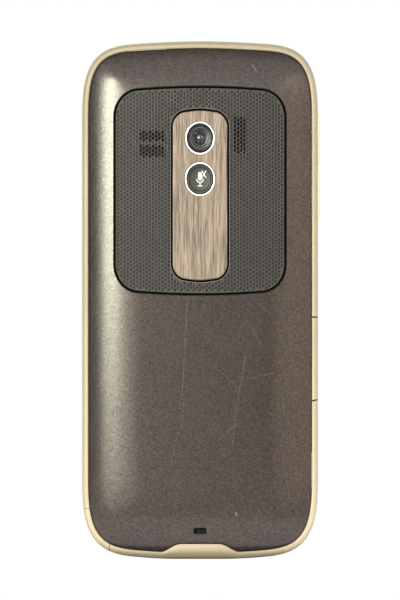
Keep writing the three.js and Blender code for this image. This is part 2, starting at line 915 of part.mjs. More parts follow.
// Contact block with three blades that meet the battery
function batteryContacts() {
  const back = bayFloor - contactHeight;
  const low = bayHigh - contactLength - 2 * clearance + guideGap;
  const blades = [-1, 0, 1].map((place) => {
    const x = place * contactHalf * bladeShare;
    return box(x - thinWall, x + thinWall, back + clearance, bayFloor - clearance, low, bayHigh + seam);
  });
  return wasm.Manifold.union([
    box(-contactHalf + seam, contactHalf - seam, back, bayFloor, bayHigh + guideGap, bayHigh + contactLength),
    ...blades,
  ]);
}

function mainBoard() {
  const notch = box(
    -plugHalf - seam, plugHalf + seam, boardUnder - overrun, frontFace, 0, plugInset + plugLength + seam,
  );
  const corner = capRegion(2 * clearance);
  return outlineSlab(boardInset, boardUnder, domeUnder).subtract(notch).subtract(corner);
}

// Metal can over the circuits, open towards the board
function shieldCan(left, right) {
  const back = boardUnder - canHeight;
  const room = box(
    left + thinWall, right - thinWall, back + thinWall, boardUnder + overrun,
    canLow + thinWall, canHigh - thinWall,
  );
  return box(left, right, back, boardUnder, canLow, canHigh).subtract(room);
}

// Loudspeaker box with a round membrane recess towards the sound holes
function loudspeaker(left, width, low, length) {
  const back = chassisBack + platformThickness + seam;
  const radius = Math.min(width, length) * membraneShare;
  return box(left, left + width, back, boardUnder, low, low + length)
    .subtract(discAlongY(radius, left + width / 2, low + length / 2, backFace, back + thinWall, round));
}

function leftLoudspeaker() {
  const low = leftSound.low - speakerBelow;
  return loudspeaker(leftSound.left - speakerSide, speakerWidth, low, speakerLength);
}

function rightLoudspeaker() {
  const low = rightSound.low - tweeterBelow;
  return loudspeaker(rightSound.left - tweeterSide, tweeterWidth, low, tweeterLength);
}

function vibrationMotor() {
  const y = boardUnder - motorRadius;
  const outline = Array.from({ length: smallRound }, (_, i) => {
    const angle = (i + 0.5) / smallRound * 2 * Math.PI;
    const reach = motorRadius / Math.cos(Math.PI / smallRound);
    return new THREE.Vector2(y + reach * Math.cos(angle), motorHeight + reach * Math.sin(angle));
  });
  return barAlongX(outline, motorX, motorX + motorLength);
}

function usbSocket() {
  const front = deckUnder - guideGap;
  const back = front - plugHeight;
  const high = plugInset + plugLength;
  const tongueHalf = plugHalf * tongueShare;
  const middle = (front + back) / 2;
  const mouth = box(
    -plugHalf + plugShell, plugHalf - plugShell, back + plugShell, front - plugShell,
    -overrun, high - plugShell,
  );
  const tongue = box(
    -tongueHalf, tongueHalf, middle - thinWall, middle + thinWall, plugInset + thinWall, high - plugShell / 2,
  );
  return box(-plugHalf, plugHalf, back, front, plugInset, high).subtract(mouth).add(tongue);
}

// Sheet-metal card holder on the back of the board, open towards the side
function cardSocket() {
  const right = halfWidth - cardInset - thinWall;
  const left = halfWidth - cardInset - cardLength - socketWall;
  const back = boardUnder - cardThickness - 2 * socketWall;
  const slot = box(
    left + socketWall, halfWidth, boardUnder - cardThickness - socketWall, boardUnder + overrun,
    cardLow - guideGap / 2, cardLow + cardWidth + guideGap / 2,
  );
  const high = cardLow + cardWidth + socketWall;
  return box(left, right, back, boardUnder, cardLow - socketWall, high).subtract(slot);
}

function memoryCard() {
  const left = halfWidth - cardInset - cardLength + guideGap;
  const right = halfWidth - cardInset;
  const front = boardUnder - guideGap;
  const notch = cardWidth * cardNotchShare;
  const outline = [
    new THREE.Vector2(left, cardLow + guideGap),
    new THREE.Vector2(right, cardLow + guideGap),
    new THREE.Vector2(right, cardLow + cardWidth - guideGap),
    new THREE.Vector2(left + 3 * notch, cardLow + cardWidth - guideGap),
    new THREE.Vector2(left + 2 * notch, cardLow + cardWidth - notch),
    new THREE.Vector2(left, cardLow + cardWidth - notch),
  ];
  return slab(outline, front - cardThickness, front);
}

// Places of the keys: rows across the phone, columns along it, one long key in the outer row
function keyPlaces() {
  const low = halfLength - keyColumns * keyColumnPitch / 2;
  const places = [];
  for (let row = 0; row < keyRows; row += 1) {
    const left = keyboardLeft + row * keyRowPitch + keyGap / 2;
    const right = left + keyRowPitch - keyGap;
    for (let column = 0; column < keyColumns; column += 1) {
      const start = low + column * keyColumnPitch + keyGap / 2;
      const isSpace = row === keyRows - 1 && column === spaceKeyFirst;
      const span = isSpace ? spaceKeyColumns : 1;
      places.push({ left, right, low: start, high: start + span * keyColumnPitch - keyGap });
      column += span - 1;
    }
  }
  return places;
}

function keyboardDeck() {
  const holes = keyPlaces().map(({ left, right, low, high }) => box(
    left - seam, right + seam, deckUnder - overrun, deckTop + overrun, low - seam, high + seam,
  ));
  return outlineSlab(chassisInset, deckUnder, deckTop).subtract(wasm.Manifold.union(holes));
}

// One key cap with its edges bevelled
function keyCap({ left, right, low, high }) {
  const corners = (inset, level) => [
    [left + inset, level, low + inset],
    [right - inset, level, low + inset],
    [right - inset, level, high - inset],
    [left + inset, level, high - inset],
  ];
  const rings = [corners(0, deckUnder - guideGap), corners(0, keyTop - keyBevel), corners(keyBevel, keyTop)];
  const triangles = [0, 2, 1, 0, 3, 2, 8, 9, 10, 8, 10, 11];
  for (const lower of [0, 4]) {
    for (let i = 0; i < 4; i += 1) {
      const next = (i + 1) % 4;
      triangles.push(lower + i, lower + next, lower + 4 + next);
      triangles.push(lower + i, lower + 4 + next, lower + 4 + i);
    }
  }
  return body(rings.flat(2), triangles);
}

function keyboardMat() {
  const places = keyPlaces();
  const high = Math.max(...places.map((place) => place.high));
  const low = Math.min(...places.map((place) => place.low));
  const right = keyboardLeft + keyRows * keyRowPitch - keyGap / 2 + seam;
  const sheet = box(keyboardLeft, right, matUnder, deckUnder, low - keyGap, high + keyGap);
  return wasm.Manifold.union([sheet, ...places.map(keyCap)]);
}

function domeSheet() {
  const places = keyPlaces();
  const high = Math.max(...places.map((place) => place.high));
  const low = Math.min(...places.map((place) => place.low));
  const right = keyboardLeft + keyRows * keyRowPitch - keyGap;
  return box(keyboardLeft - keyGap, right, domeUnder, matUnder, low - 2 * keyGap, high + 2 * keyGap);
}

// Channel that holds one edge of the carriage plate; it opens towards the middle of the phone
function rail(isTop) {
  const outer = isTop ? phoneLength - railInset : railInset;
  const inwards = isTop ? -1 : 1;
  const web = outer + inwards * railWeb;
  const mouth = web + inwards * railSlot;
  const outline = [
    [deckTop, mouth], [deckTop, outer], [rimTop, outer], [rimTop, mouth],
    [plateTop + guideGap, mouth], [plateTop + guideGap, web],
    [plateUnder - guideGap, web], [plateUnder - guideGap, mouth],
  ].map(([y, z]) => new THREE.Vector2(y, z));
  return barAlongX(outline, -railHalf, railHalf);
}

function carriagePlate() {
  const low = railInset + railWeb + guideGap;
  const high = phoneLength - low;
  const outline = [
    [plateLeft + plateCorner, low], [plateRight, low], [plateRight, high],
    [plateLeft + plateCorner, high], [plateLeft, high - plateCorner], [plateLeft, low + plateCorner],
  ].map(([x, z]) => new THREE.Vector2(x, z));
  const openings = [-1, 1].map((side) => {
    const middle = halfLength + side * lightOffset;
    const half = lightLength / 2;
    return box(lightLeft, lightRight, plateUnder - overrun, plateTop + overrun, middle - half, middle + half);
  });
  return slab(outline, plateUnder, plateTop).subtract(wasm.Manifold.union(openings));
}

// Bore and foot that carry the display's pin
function hingeKnuckle(centre) {
  const low = centre - knuckleLength / 2;
  const high = centre + knuckleLength / 2;
  const left = hingeX - armReach;
  return barAlongZ(knuckleRadius, knuckleRadius, hingeX, hingeY, low, high, round)
    .add(box(left, left + armThickness, plateTop, hingeY, low, high))
    .subtract(barAlongZ(knuckleBore, knuckleBore, hingeX, hingeY, low - overrun, high + overrun, round));
}

function hingePin(centre) {
  const half = knuckleLength / 2 + clearance;
  return barAlongZ(pinRadius, pinRadius, hingeX, hingeY, centre - half, centre + half, round);
}

const hingeCentres = { bottom: halfLength - hingeOffset, top: halfLength + hingeOffset };

// Tray with a rounded lower edge about the hinge line, open where the knuckles sit
function displayTray() {
  const steps = 4;
  const rounded = Array.from({ length: steps + 1 }, (_, i) => {
    const angle = (i / steps) * Math.PI / 2;
    return [hingeReach * (1 - Math.sin(angle)), displayFloor + hingeReach * (1 - Math.cos(angle))];
  });
  const outer = lofted([...rounded, [0, trayTop]], false);
  const half = knuckleLength / 2 + clearance;
  const left = hingeX - armReach - clearance;
  const ears = Object.values(hingeCentres).map((centre) => box(
    left + seam, innerWall + seam, displayFloor, trayTop,
    centre - half - earLength, centre + half + earLength,
  ));
  const pockets = Object.values(hingeCentres).map((centre) => box(
    left, halfWidth + overrun, displayFloor - overrun, trayTop + overrun, centre - half, centre + half,
  ));
  const shell = outer.subtract(outlineSlab(shellWall, trayInner, trayTop + overrun));
  return shell.add(outer.intersect(wasm.Manifold.union(ears))).subtract(wasm.Manifold.union(pockets));
}

function displayBoard() {
  const top = trayInner + panelBoard;
  const half = lcdHalf - 2 * lcdGap;
  return box(-half, half, trayInner, top, frontKeyLow + clearance, lcdHigh - lcdGap);
}

function lcdPanel() {
  const back = trayInner + panelBoard;
  return box(-lcdHalf, lcdHalf, back, frontFace - glassThickness - lcdGap, lcdLow, lcdHigh);
}

function frontKeySwitches() {
  const top = bezelUnder - flangeGap - frontKeyFlange - frontKeyTravel - flangeGap;
  const half = lcdHalf - 2 * lcdGap;
  return box(-half, half, trayInner + panelBoard, top, frontKeyLow + clearance, frontKeyHigh + clearance);
}

const frontKeyPlaces = [
  ['talk_key', outerKeyCentre, outerKeyWidth],
  ['home_key', innerKeyCentre, innerKeyWidth],
  ['back_key', -innerKeyCentre, innerKeyWidth],
  ['end_key', -outerKeyCentre, outerKeyWidth],
];

function frontKeyOutline(centre, width, margin) {
  return roundedOutline(
    centre - width / 2 - margin, centre + width / 2 + margin,
    frontKeyLow - margin, frontKeyHigh + margin, frontKeyCorner + margin,
  );
}

function frontKey(centre, width) {
  const flangeTop = bezelUnder - flangeGap;
  const cap = slab(frontKeyOutline(centre, width, 0), flangeTop, frontFace - flangeGap);
  const flange = slab(frontKeyOutline(centre, width, clearance), flangeTop - frontKeyFlange, flangeTop);
  return cap.add(flange);
}

function frontKeyHole(centre, width) {
  return slab(frontKeyOutline(centre, width, seam), backFace, frontFace);
}

function slotOutline(half, middle, width, margin) {
  const edge = width / 2 + margin;
  return roundedOutline(-half - margin, half + margin, middle - edge, middle + edge, edge);
}

function displayBezel() {
  const solid = lofted([
    [0, trayTop],
    [0, bezelTop - bezelRound],
    [bezelStep, bezelTop - bezelStep],
    [bezelRound + bezelStep, bezelTop],
  ], false);
  const zoomSeat = frontFace - zoomThickness - flangeGap;
  const cuts = [
    outlineSlab(shellWall, trayTop - overrun, bezelUnder),
    slab(panelOutline(glassShape, seam), backFace, frontFace),
    slab(slotOutline(zoomHalf, zoomHeight, zoomWidth, seam), zoomSeat, frontFace),
    slab(slotOutline(earHalf, earHeight, earWidth, seam), backFace, frontFace),
    discAlongY(frontCameraRadius + seam, frontCameraX, earHeight, backFace, frontFace, smallRound),
    discAlongY(sensorRadius + seam, -frontCameraX, earHeight, backFace, frontFace, smallRound),
    ...frontKeyPlaces.map(([, centre, width]) => frontKeyHole(centre, width)),
  ];
  return cuts.reduce((rest, cut) => rest.subtract(cut), solid);
}

function touchGlass() {
  return slab(panelOutline(glassShape, 0), frontFace - glassThickness, frontFace);
}

function zoomBar() {
  const top = frontFace - flangeGap;
  return slab(slotOutline(zoomHalf, zoomHeight, zoomWidth, 0), top - zoomThickness, top);
}

function earpieceGrille() {
  const pitch = 2 * earHalf / (earSlits + 1);
  const slits = Array.from({ length: earSlits }, (_, i) => {
    const x = -earHalf + pitch * (i + 1);
    const reach = earWidth * earSlitShare;
    const half = earSlitWidth / 2;
    return box(x - half, x + half, backFace, frontFace, earHeight - reach, earHeight + reach);
  });
  return slab(slotOutline(earHalf, earHeight, earWidth, 0), bezelUnder - guideGap, bezelTop - flangeGap)
    .subtract(wasm.Manifold.union(slits));
}

function earpieceReceiver() {
  const top = bezelUnder - guideGap;
  return box(-receiverHalf, receiverHalf, trayInner, top, glassHigh - guideGap, earHeight + earWidth);
}

function frontCamera() {
  const base = bezelUnder - guideGap;
  const face = bezelTop - guideGap;
  const barrel = discAlongY(frontCameraRadius, frontCameraX, earHeight, base - thinWall, face, smallRound);
  return box(
    frontCameraX - frontCameraHalf, frontCameraX + frontCameraHalf, trayInner, base,
    earHeight - frontCameraHalf, earHeight + frontCameraHalf - 2 * clearance,
  ).add(barrel);
}

function lightSensor() {
  return discAlongY(sensorRadius, -frontCameraX, earHeight, bezelUnder, bezelTop - guideGap, smallRound);
}

// Corner of the frame that comes out with the stylus, and the plug behind it
function stylusCap() {
  const skin = wallRing().intersect(capRegion(0));
  const plugFront = deckUnder - clearance;
  const plug = outlineSlab(wall / 2, plugFront - plugDepth, plugFront).intersect(capRegion(0));
  return skin.add(plug);
}

function stylusBarrel() {
  return barAlongZ(stylusRadius, stylusRadius, stylusX, stylusY, capTop, stylusTop, smallRound);
}

function stylusPoint() {
  const top = stylusTop + stylusTip;
  return barAlongZ(stylusRadius * pointShare, tipRadius, stylusX, stylusY, stylusTop, top, smallRound);
}

function volumeRocker() {
  const outer = halfWidth + rockerProud;
  const inner = innerWall - rockerInner + wall;
  const middle = (rockerLow + rockerHigh) / 2;
  const outline = [
    [inner, rockerLow], [outer - rockerProud, rockerLow], [outer, rockerLow + 2 * rockerProud],
    [outer, middle - rockerNotch], [outer - rockerNotch, middle], [outer, middle + rockerNotch],
    [outer, rockerHigh - 2 * rockerProud], [outer - rockerProud, rockerHigh], [inner, rockerHigh],
  ].map(([x, z]) => new THREE.Vector2(x, z));
  const half = rockerDepth / 2;
  const flange = box(
    inner, innerWall - guideGap * 2, sideCentre - half - clearance, sideCentre + half + clearance,
    middle - rockerFlangeHalf, middle + rockerFlangeHalf,
  );
  return slab(outline, sideCentre - half, sideCentre + half).add(flange);
}

function powerButton() {
  const half = powerDepth / 2;
  const low = phoneLength - powerReach;
  const region = box(
    powerX - powerHalf, powerX + powerHalf, sideCentre - half, sideCentre + half, low, phoneLength,
  );
  const flange = box(
    powerX - powerHalf - powerFlange, powerX + powerHalf + powerFlange,
    sideCentre - half - clearance, sideCentre + half + clearance, low - clearance, low + clearance,
  );
  return outlineSlab(0, backFace, rimTop).intersect(region).add(flange);
}

function cardDoor() {
  return wallRing().intersect(slab(doorOutline(0), backFace, doorFront));
}

// Finishes, by colour, roughness and metalness
const finishes = {
  champagne: ['#d6c8ac', 0.38, 0.55],
  polishedChampagne: ['#e6dabd', 0.28, 0.6],
  bronzePaint: ['#695f58', 0.4, 0.45],
  darkGrille: ['#4b4641', 0.55, 0.2],
  brushedBronze: ['#a58c73', 0.35, 0.8],
  chrome: ['#e9e7e2', 0.12, 1],
  darkGlass: ['#17161a', 0.08, 0.1],
  lensBlack: ['#222027', 0.25, 0.2],
  buttonBrown: ['#4a403a', 0.5, 0.1],
  chassisBlack: ['#26262a', 0.6, 0.05],
  batteryGrey: ['#3c3f44', 0.55, 0.1],
  boardGreen: ['#1f4a38', 0.55, 0.1],
  shieldSteel: ['#b9bbbd', 0.35, 0.9],
  steel: ['#9fa1a4', 0.35, 0.9],
  gold: ['#c9a44c', 0.3, 0.9],
  deckBrown: ['#57504a', 0.5, 0.2],
  keySilver: ['#8f8a84', 0.55, 0.1],
  clearSheet: ['#b8b4a8', 0.4, 0],
  stylusBlack: ['#2a2826', 0.5, 0.05],
  tipGrey: ['#8d8b88', 0.7, 0],
  lcdGrey: ['#34363a', 0.4, 0.2],
};

const phone = new THREE.Group();
phone.name = 'slider_phone';

function addPart(name, solid, finish) {
  const [colour, roughness, metalness] = finishes[finish];
  const mesh = solid.getMesh();
  const geometry = new THREE.BufferGeometry();
  geometry.setAttribute('position', new THREE.BufferAttribute(new Float32Array(mesh.vertProperties), 3));
  geometry.setIndex(new THREE.BufferAttribute(new Uint32Array(mesh.triVerts), 1));
  geometry.computeVertexNormals();
  const material = new THREE.MeshStandardMaterial({ color: colour, roughness, metalness });
  const part = new THREE.Mesh(geometry, material);
  part.name = name;
  phone.add(part);
}

// Rear half
addPart('base_frame', baseFrame(), 'champagne');
addPart('rear_chassis', rearChassis(), 'chassisBlack');
addPart('battery_cover', batteryCover(), 'bronzePaint');
addPart('speaker_panel', speakerPanel(), 'darkGrille');
addPart('camera_plate', cameraPlate(), 'brushedBronze');
addPart('camera_ring', cameraRing(), 'chrome');
addPart('camera_window', cameraWindow(), 'darkGlass');
addPart('camera_lens', cameraLens(), 'lensBlack');
addPart('camera_module', cameraModule(), 'chassisBlack');
addPart('mute_ring', muteRing(), 'chrome');
addPart('mute_button', muteButton(), 'buttonBrown');
addPart('mute_switch', muteSwitch(), 'chassisBlack');
addPart('battery', battery(), 'batteryGrey');
addPart('battery_contacts', batteryContacts(), 'gold');
addPart('main_board', mainBoard(), 'boardGreen');
addPart('shield_can_radio', shieldCan(-canHalf, -clearance), 'shieldSteel');
addPart('shield_can_processor', shieldCan(clearance, canHalf), 'shieldSteel');
addPart('loudspeaker_left', leftLoudspeaker(), 'chassisBlack');
addPart('loudspeaker_right', rightLoudspeaker(), 'chassisBlack');
addPart('vibration_motor', vibrationMotor(), 'steel');
addPart('usb_socket', usbSocket(), 'steel');
addPart('card_socket', cardSocket(), 'shieldSteel');
addPart('memory_card', memoryCard(), 'stylusBlack');
addPart('card_door', cardDoor(), 'champagne');
addPart('volume_rocker', volumeRocker(), 'champagne');
addPart('power_button', powerButton(), 'polishedChampagne');
addPart('stylus_cap', stylusCap(), 'polishedChampagne');
addPart('stylus_barrel', stylusBarrel(), 'stylusBlack');
addPart('stylus_point', stylusPoint(), 'tipGrey');
addPart('keyboard_deck', keyboardDeck(), 'deckBrown');
addPart('keyboard_mat', keyboardMat(), 'keySilver');
addPart('dome_sheet', domeSheet(), 'clearSheet');
addPart('rail_top', rail(true), 'steel');
addPart('rail_bottom', rail(false), 'steel');
for (const [name, x, z] of screwPlaces) addPart(name, screw(x, z), 'steel');

// Carriage between the halves
addPart('carriage_plate', carriagePlate(), 'steel');
for (const [place, centre] of Object.entries(hingeCentres)) {
  addPart(`hinge_knuckle_${place}`, hingeKnuckle(centre), 'steel');
  addPart(`hinge_pin_${place}`, hingePin(centre), 'chrome');
}

// Display half
addPart('display_tray', displayTray(), 'champagne');
addPart('display_board', displayBoard(), 'boardGreen');
addPart('lcd_panel', lcdPanel(), 'lcdGrey');
addPart('front_key_switches', frontKeySwitches(), 'chassisBlack');
addPart('display_bezel', displayBezel(), 'bronzePaint');
addPart('touch_glass', touchGlass(), 'darkGlass');
addPart('zoom_bar', zoomBar(), 'polishedChampagne');
addPart('earpiece_grille', earpieceGrille(), 'steel');
addPart('earpiece_receiver', earpieceReceiver(), 'steel');
addPart('front_camera', frontCamera(), 'lensBlack');
addPart('light_sensor', lightSensor(), 'lensBlack');
for (const [name, centre, width] of frontKeyPlaces) addPart(name, frontKey(centre, width), 'keySilver');

export default phone;
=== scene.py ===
"""Dressed slider phone with a tilting display and a keyboard under it.

The phone stands on its bottom end: Z runs upwards, the back cover looks along -Y and the display
along +Y. Lengths are in millimetres until a mesh is made from them.
"""

import logging
from collections.abc import Callable, Iterable, Sequence
from dataclasses import dataclass, field
from enum import Enum
from functools import cache
from math import acos, ceil, cos, pi, radians, sin, sqrt

import bmesh
import bpy
import numpy as np
from mathutils import Matrix, Vector

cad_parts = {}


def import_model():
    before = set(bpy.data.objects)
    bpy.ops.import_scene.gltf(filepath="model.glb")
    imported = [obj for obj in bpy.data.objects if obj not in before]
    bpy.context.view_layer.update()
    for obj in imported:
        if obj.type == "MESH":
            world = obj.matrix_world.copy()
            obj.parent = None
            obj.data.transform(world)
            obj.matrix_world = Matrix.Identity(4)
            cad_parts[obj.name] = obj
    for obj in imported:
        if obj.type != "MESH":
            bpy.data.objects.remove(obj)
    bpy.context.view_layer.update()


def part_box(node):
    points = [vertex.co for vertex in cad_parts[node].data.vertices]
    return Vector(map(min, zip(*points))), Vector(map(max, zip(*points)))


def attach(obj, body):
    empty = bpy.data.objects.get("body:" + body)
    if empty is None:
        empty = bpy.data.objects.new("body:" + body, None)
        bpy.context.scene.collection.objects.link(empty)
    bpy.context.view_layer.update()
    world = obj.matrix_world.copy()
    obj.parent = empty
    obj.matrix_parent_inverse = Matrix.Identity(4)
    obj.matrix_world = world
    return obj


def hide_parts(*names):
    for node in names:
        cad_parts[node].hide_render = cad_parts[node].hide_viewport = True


Mesh = bpy.types.Mesh
Inputs = bpy.types.NodeInputs
Socket = bpy.types.NodeSocket
Tree = bpy.types.NodeTree
Pair = tuple[float, float]
Triple = tuple[float, float, float]

MM = 0.001
QUARTER = pi / 2
# How far a cutter runs past what it cuts, and the levels between which it cuts right through
BEYOND = 3.0
CUT_BACK, CUT_FRONT = -9.0, 12.0
# Level of the controls in the side wall
SIDE_LEVEL = -2.95
FLAT_BORDER = 0.03
# Distance in metres below which two points of a mesh are one
MERGE = 2e-7
# Middle of the phone, in metres
PHONE_MIDDLE = (0.0, 0.0, 0.058)
LOG = logging.getLogger("phone")


class Body(Enum):
    """Parts of the phone that move on their own."""

    BASE = "base"
    COVER = "battery_cover"
    MUTE = "mute_button"
    DOOR = "card_door"
    ROCKER = "volume_rocker"
    POWER = "power_button"
    STYLUS = "stylus"
    CARRIAGE = "carriage"
    DISPLAY = "display"
    TALK = "talk_key"
    HOME = "home_key"
    BACK = "back_key"
    END = "end_key"


class Axis(Enum):
    """Direction of a brushed finish's lines."""

    X = 0
    Y = 1
    Z = 2


# Node trees


def linear(colour: str, factor: float = 1.0) -> tuple[float, float, float, float]:
    """Turns a hexadecimal colour into linear light.

    Args:
        colour: The colour as #rrggbb.
        factor: Share by which it is made lighter or darker.

    Returns:
        Red, green, blue and a full alpha.
    """
    parts = [int(colour[i : i + 2], 16) / 255 for i in (1, 3, 5)]
    light = [((p + 0.055) / 1.055) ** 2.4 if p > 0.04045 else p / 12.92 for p in parts]
    return (*(min(1.0, part * factor) for part in light), 1.0)


class Graph:
    """Short ways to fill a node tree."""

    def __init__(self, tree: Tree) -> None:
        """Keeps the tree that the nodes go into."""
        self.tree = tree

    def wire(self, socket: Socket, value: object) -> None:
        """Links a socket to another one, or gives it a plain value.

        Args:
            socket: The input.
            value: An output socket, or the value itself.
        """
        if isinstance(value, Socket):
            self.tree.links.new(value, socket)
        else:
            socket.default_value = value

    def put(self, kind: str, inputs: dict | None = None, **settings: object) -> bpy.types.Node:
        """Adds a node.

        Args:
            kind: Blender's name of the node type.
            inputs: Its inputs by name or place, as sockets or values.
            settings: Properties of the node, set before its inputs.

        Returns:
            The node.
        """
        node = self.tree.nodes.new(kind)
        for name, value in settings.items():
            setattr(node, name, value)
        for key, value in (inputs or {}).items():
            self.wire(node.inputs[key], value)
        return node

    def math(self, operation: str, *values: object) -> Socket:
        """Returns the result of a Math node on the given values."""
        inputs = dict(enumerate(values))
        return self.put("ShaderNodeMath", inputs, operation=operation).outputs[0]

    def vector(self, operation: str, *values: object) -> Socket:
        """Returns the result of a Vector Math node on the given vectors."""
        node = self.put("ShaderNodeVectorMath", dict(enumerate(values)), operation=operation)
        return node.outputs[1 if operation in ("DOT_PRODUCT", "LENGTH", "DISTANCE") else 0]

    def scaled(self, vector: object, factor: object) -> Socket:
        """Returns a vector times a number."""
        inputs = {0: vector, "Scale": factor}
        return self.put("ShaderNodeVectorMath", inputs, operation="SCALE").outputs[0]

    def mixed(self, factor: object, first: object, second: object) -> Socket:
        """Returns the first colour turning into the second as the factor grows."""
        inputs = {0: factor, 6: first, 7: second}
        return self.put("ShaderNodeMix", inputs, data_type="RGBA").outputs[2]

    def blend(self, first: Socket, second: Socket, share: float) -> Socket:
        """Returns the sum of a share of the first number and the rest of the second."""
        return self.math("ADD", self.math("MULTIPLY", first, share), self.math("MULTIPLY", second, 1 - share))

    def ranged(self, value: object, *limits: object) -> Socket:
        """Returns a value moved from one range to another and held inside it.

        Args:
            value: The number to move.
            limits: Lowest and highest value it comes in with, and those it leaves with.
        """
        inputs = {0: value, **{place + 1: limit for place, limit in enumerate(limits)}}
        return self.put("ShaderNodeMapRange", inputs).outputs[0]

    def noise(self, place: object, scale: object, detail: float = 2.0) -> Socket:
        """Returns soft noise between 0 and 1 at a place."""
        inputs = {"Vector": place, "Scale": scale, "Detail": detail}
        return self.put("ShaderNodeTexNoise", inputs).outputs[0]

    def millimetres(self) -> Socket:
        """Returns the place on the piece, in millimetres."""
        place = self.put("ShaderNodeTexCoord").outputs["Object"]
        return self.scaled(place, 1 / MM)

    def group(self, tree: Tree, **values: object) -> bpy.types.Node:
        """Places a node group with its inputs by name, where an underscore stands for a space."""
        inputs = {name.replace("_", " "): value for name, value in values.items()}
        return self.put("ShaderNodeGroup", inputs, node_tree=tree)


class ShaderGroup:
    """A shader node group with named inputs and outputs."""

    def __init__(self, name: str, inputs: dict[str, object], outputs: dict[str, str]) -> None:
        """Makes the group's tree and its sockets.

        Args:
            name: The group's name.
            inputs: Default of each input: a number, a colour of four or a vector of three.
            outputs: Socket type of each output, without its common beginning.
        """
        self.tree = bpy.data.node_groups.new(name, "ShaderNodeTree")
        for label, value in inputs.items():
            kind = {4: "Color", 3: "Vector"}.get(len(value) if isinstance(value, tuple) else 1, "Float")
            made = self.tree.interface.new_socket(label, in_out="INPUT", socket_type=f"NodeSocket{kind}")
            made.default_value = value
        for label, kind in outputs.items():
            self.tree.interface.new_socket(label, in_out="OUTPUT", socket_type=f"NodeSocket{kind}")
        self.graph = Graph(self.tree)
        self.entry = self.graph.put("NodeGroupInput").outputs
        self.exit = self.graph.put("NodeGroupOutput")

    def scale(self) -> Socket:
        """Returns the scale of a pattern whose cells measure Size."""
        return self.graph.math("DIVIDE", 1.0, self.entry["Size"])

    def close(self, **values: object) -> Tree:
        """Wires the outputs by name and returns the finished tree."""
        for label, value in values.items():
            self.graph.wire(self.exit.inputs[label], value)
        return self.tree


@cache
def flakes() -> Tree:
    """Tone of tiny metal flakes: a random value for each cell, under a soft cloud."""
    group = ShaderGroup("flakes", {"Size": 0.3}, {"Tone": "Float"})
    graph, scale = group.graph, group.scale()
    place = graph.millimetres()
    cells = graph.put("ShaderNodeTexVoronoi", {"Vector": place, "Scale": scale})
    random = graph.put("ShaderNodeSeparateColor", {0: cells.outputs["Color"]}).outputs[0]
    cloud = graph.noise(place, graph.math("MULTIPLY", scale, 0.45))
    return group.close(Tone=graph.blend(random, cloud, 0.6))


@cache
def grain() -> Tree:
    """Fine moulded or cast grain, as a height between 0 and 1."""
    group = ShaderGroup("grain", {"Size": 0.3}, {"Height": "Float"})
    graph = group.graph
    return group.close(Height=graph.noise(graph.millimetres(), group.scale(), 3.0))


@cache
def smudges() -> Tree:
    """Broad soft patches left by hands, between 0 and 1."""
    group = ShaderGroup("smudges", {"Size": 9.0}, {"Mask": "Float"})
    graph = group.graph
    cloud = graph.noise(graph.millimetres(), group.scale(), 4.0)
    return group.close(Mask=graph.ranged(cloud, 0.32, 0.68, 0.0, 1.0))


@cache
def wear() -> Tree:
    """Mask of the edges where a finish has rubbed thin."""
    group = ShaderGroup("wear", {"Amount": 0.5, "Size": 1.5}, {"Mask": "Float"})
    graph = group.graph
    edge = graph.put("ShaderNodeNewGeometry").outputs["Pointiness"]
    sharp = graph.ranged(edge, 0.52, 0.6, 0.0, 1.0)
    patchy = graph.ranged(graph.noise(graph.millimetres(), group.scale()), 0.35, 0.6, 0.0, 1.0)
    mask = graph.math("MULTIPLY", sharp, patchy)
    return group.close(Mask=graph.math("MULTIPLY", mask, group.entry["Amount"]))


@cache
def streaks() -> Tree:
    """Fine lines of a brushed metal, whose long way is where Along is small."""
    group = ShaderGroup("streaks", {"Size": 0.15, "Along": (1.0, 1.0, 0.02)}, {"Tone": "Float"})
    graph, scale = group.graph, group.scale()
    place = graph.vector("MULTIPLY", graph.millimetres(), group.entry["Along"])
    fine = graph.noise(place, scale, 3.0)
    broad = graph.noise(place, graph.math("MULTIPLY", scale, 0.3), 2.0)
    return group.close(Tone=graph.ranged(graph.blend(fine, broad, 0.6), 0.3, 0.7, 0.0, 1.0))


@cache
def scratch() -> Tree:
    """Mask of one straight fine scratch between two points, seen along Y."""
    ends = {"From": (0.0, 0.0, 0.0), "To": (0.0, 0.0, 1.0), "Width": 0.12}
    group = ShaderGroup("scratch", ends, {"Mask": "Float"})
    graph = group.graph
    flat = graph.vector("MULTIPLY", graph.millimetres(), (1.0, 0.0, 1.0))
    reach = graph.vector("SUBTRACT", flat, group.entry["From"])
    whole = graph.vector("SUBTRACT", group.entry["To"], group.entry["From"])
    shadow = graph.vector("DOT_PRODUCT", reach, whole)
    square = graph.vector("DOT_PRODUCT", whole, whole)
    share = graph.put("ShaderNodeClamp", {0: graph.math("DIVIDE", shadow, square)}).outputs[0]
    off = graph.vector("DISTANCE", reach, graph.scaled(whole, share))
    broken = graph.ranged(graph.noise(flat, 0.9), 0.36, 0.5, 0.15, 1.0)
    line = graph.ranged(off, 0.0, group.entry["Width"], 1.0, 0.0)
    return group.close(Mask=graph.math("MULTIPLY", line, broken))


# Finishes


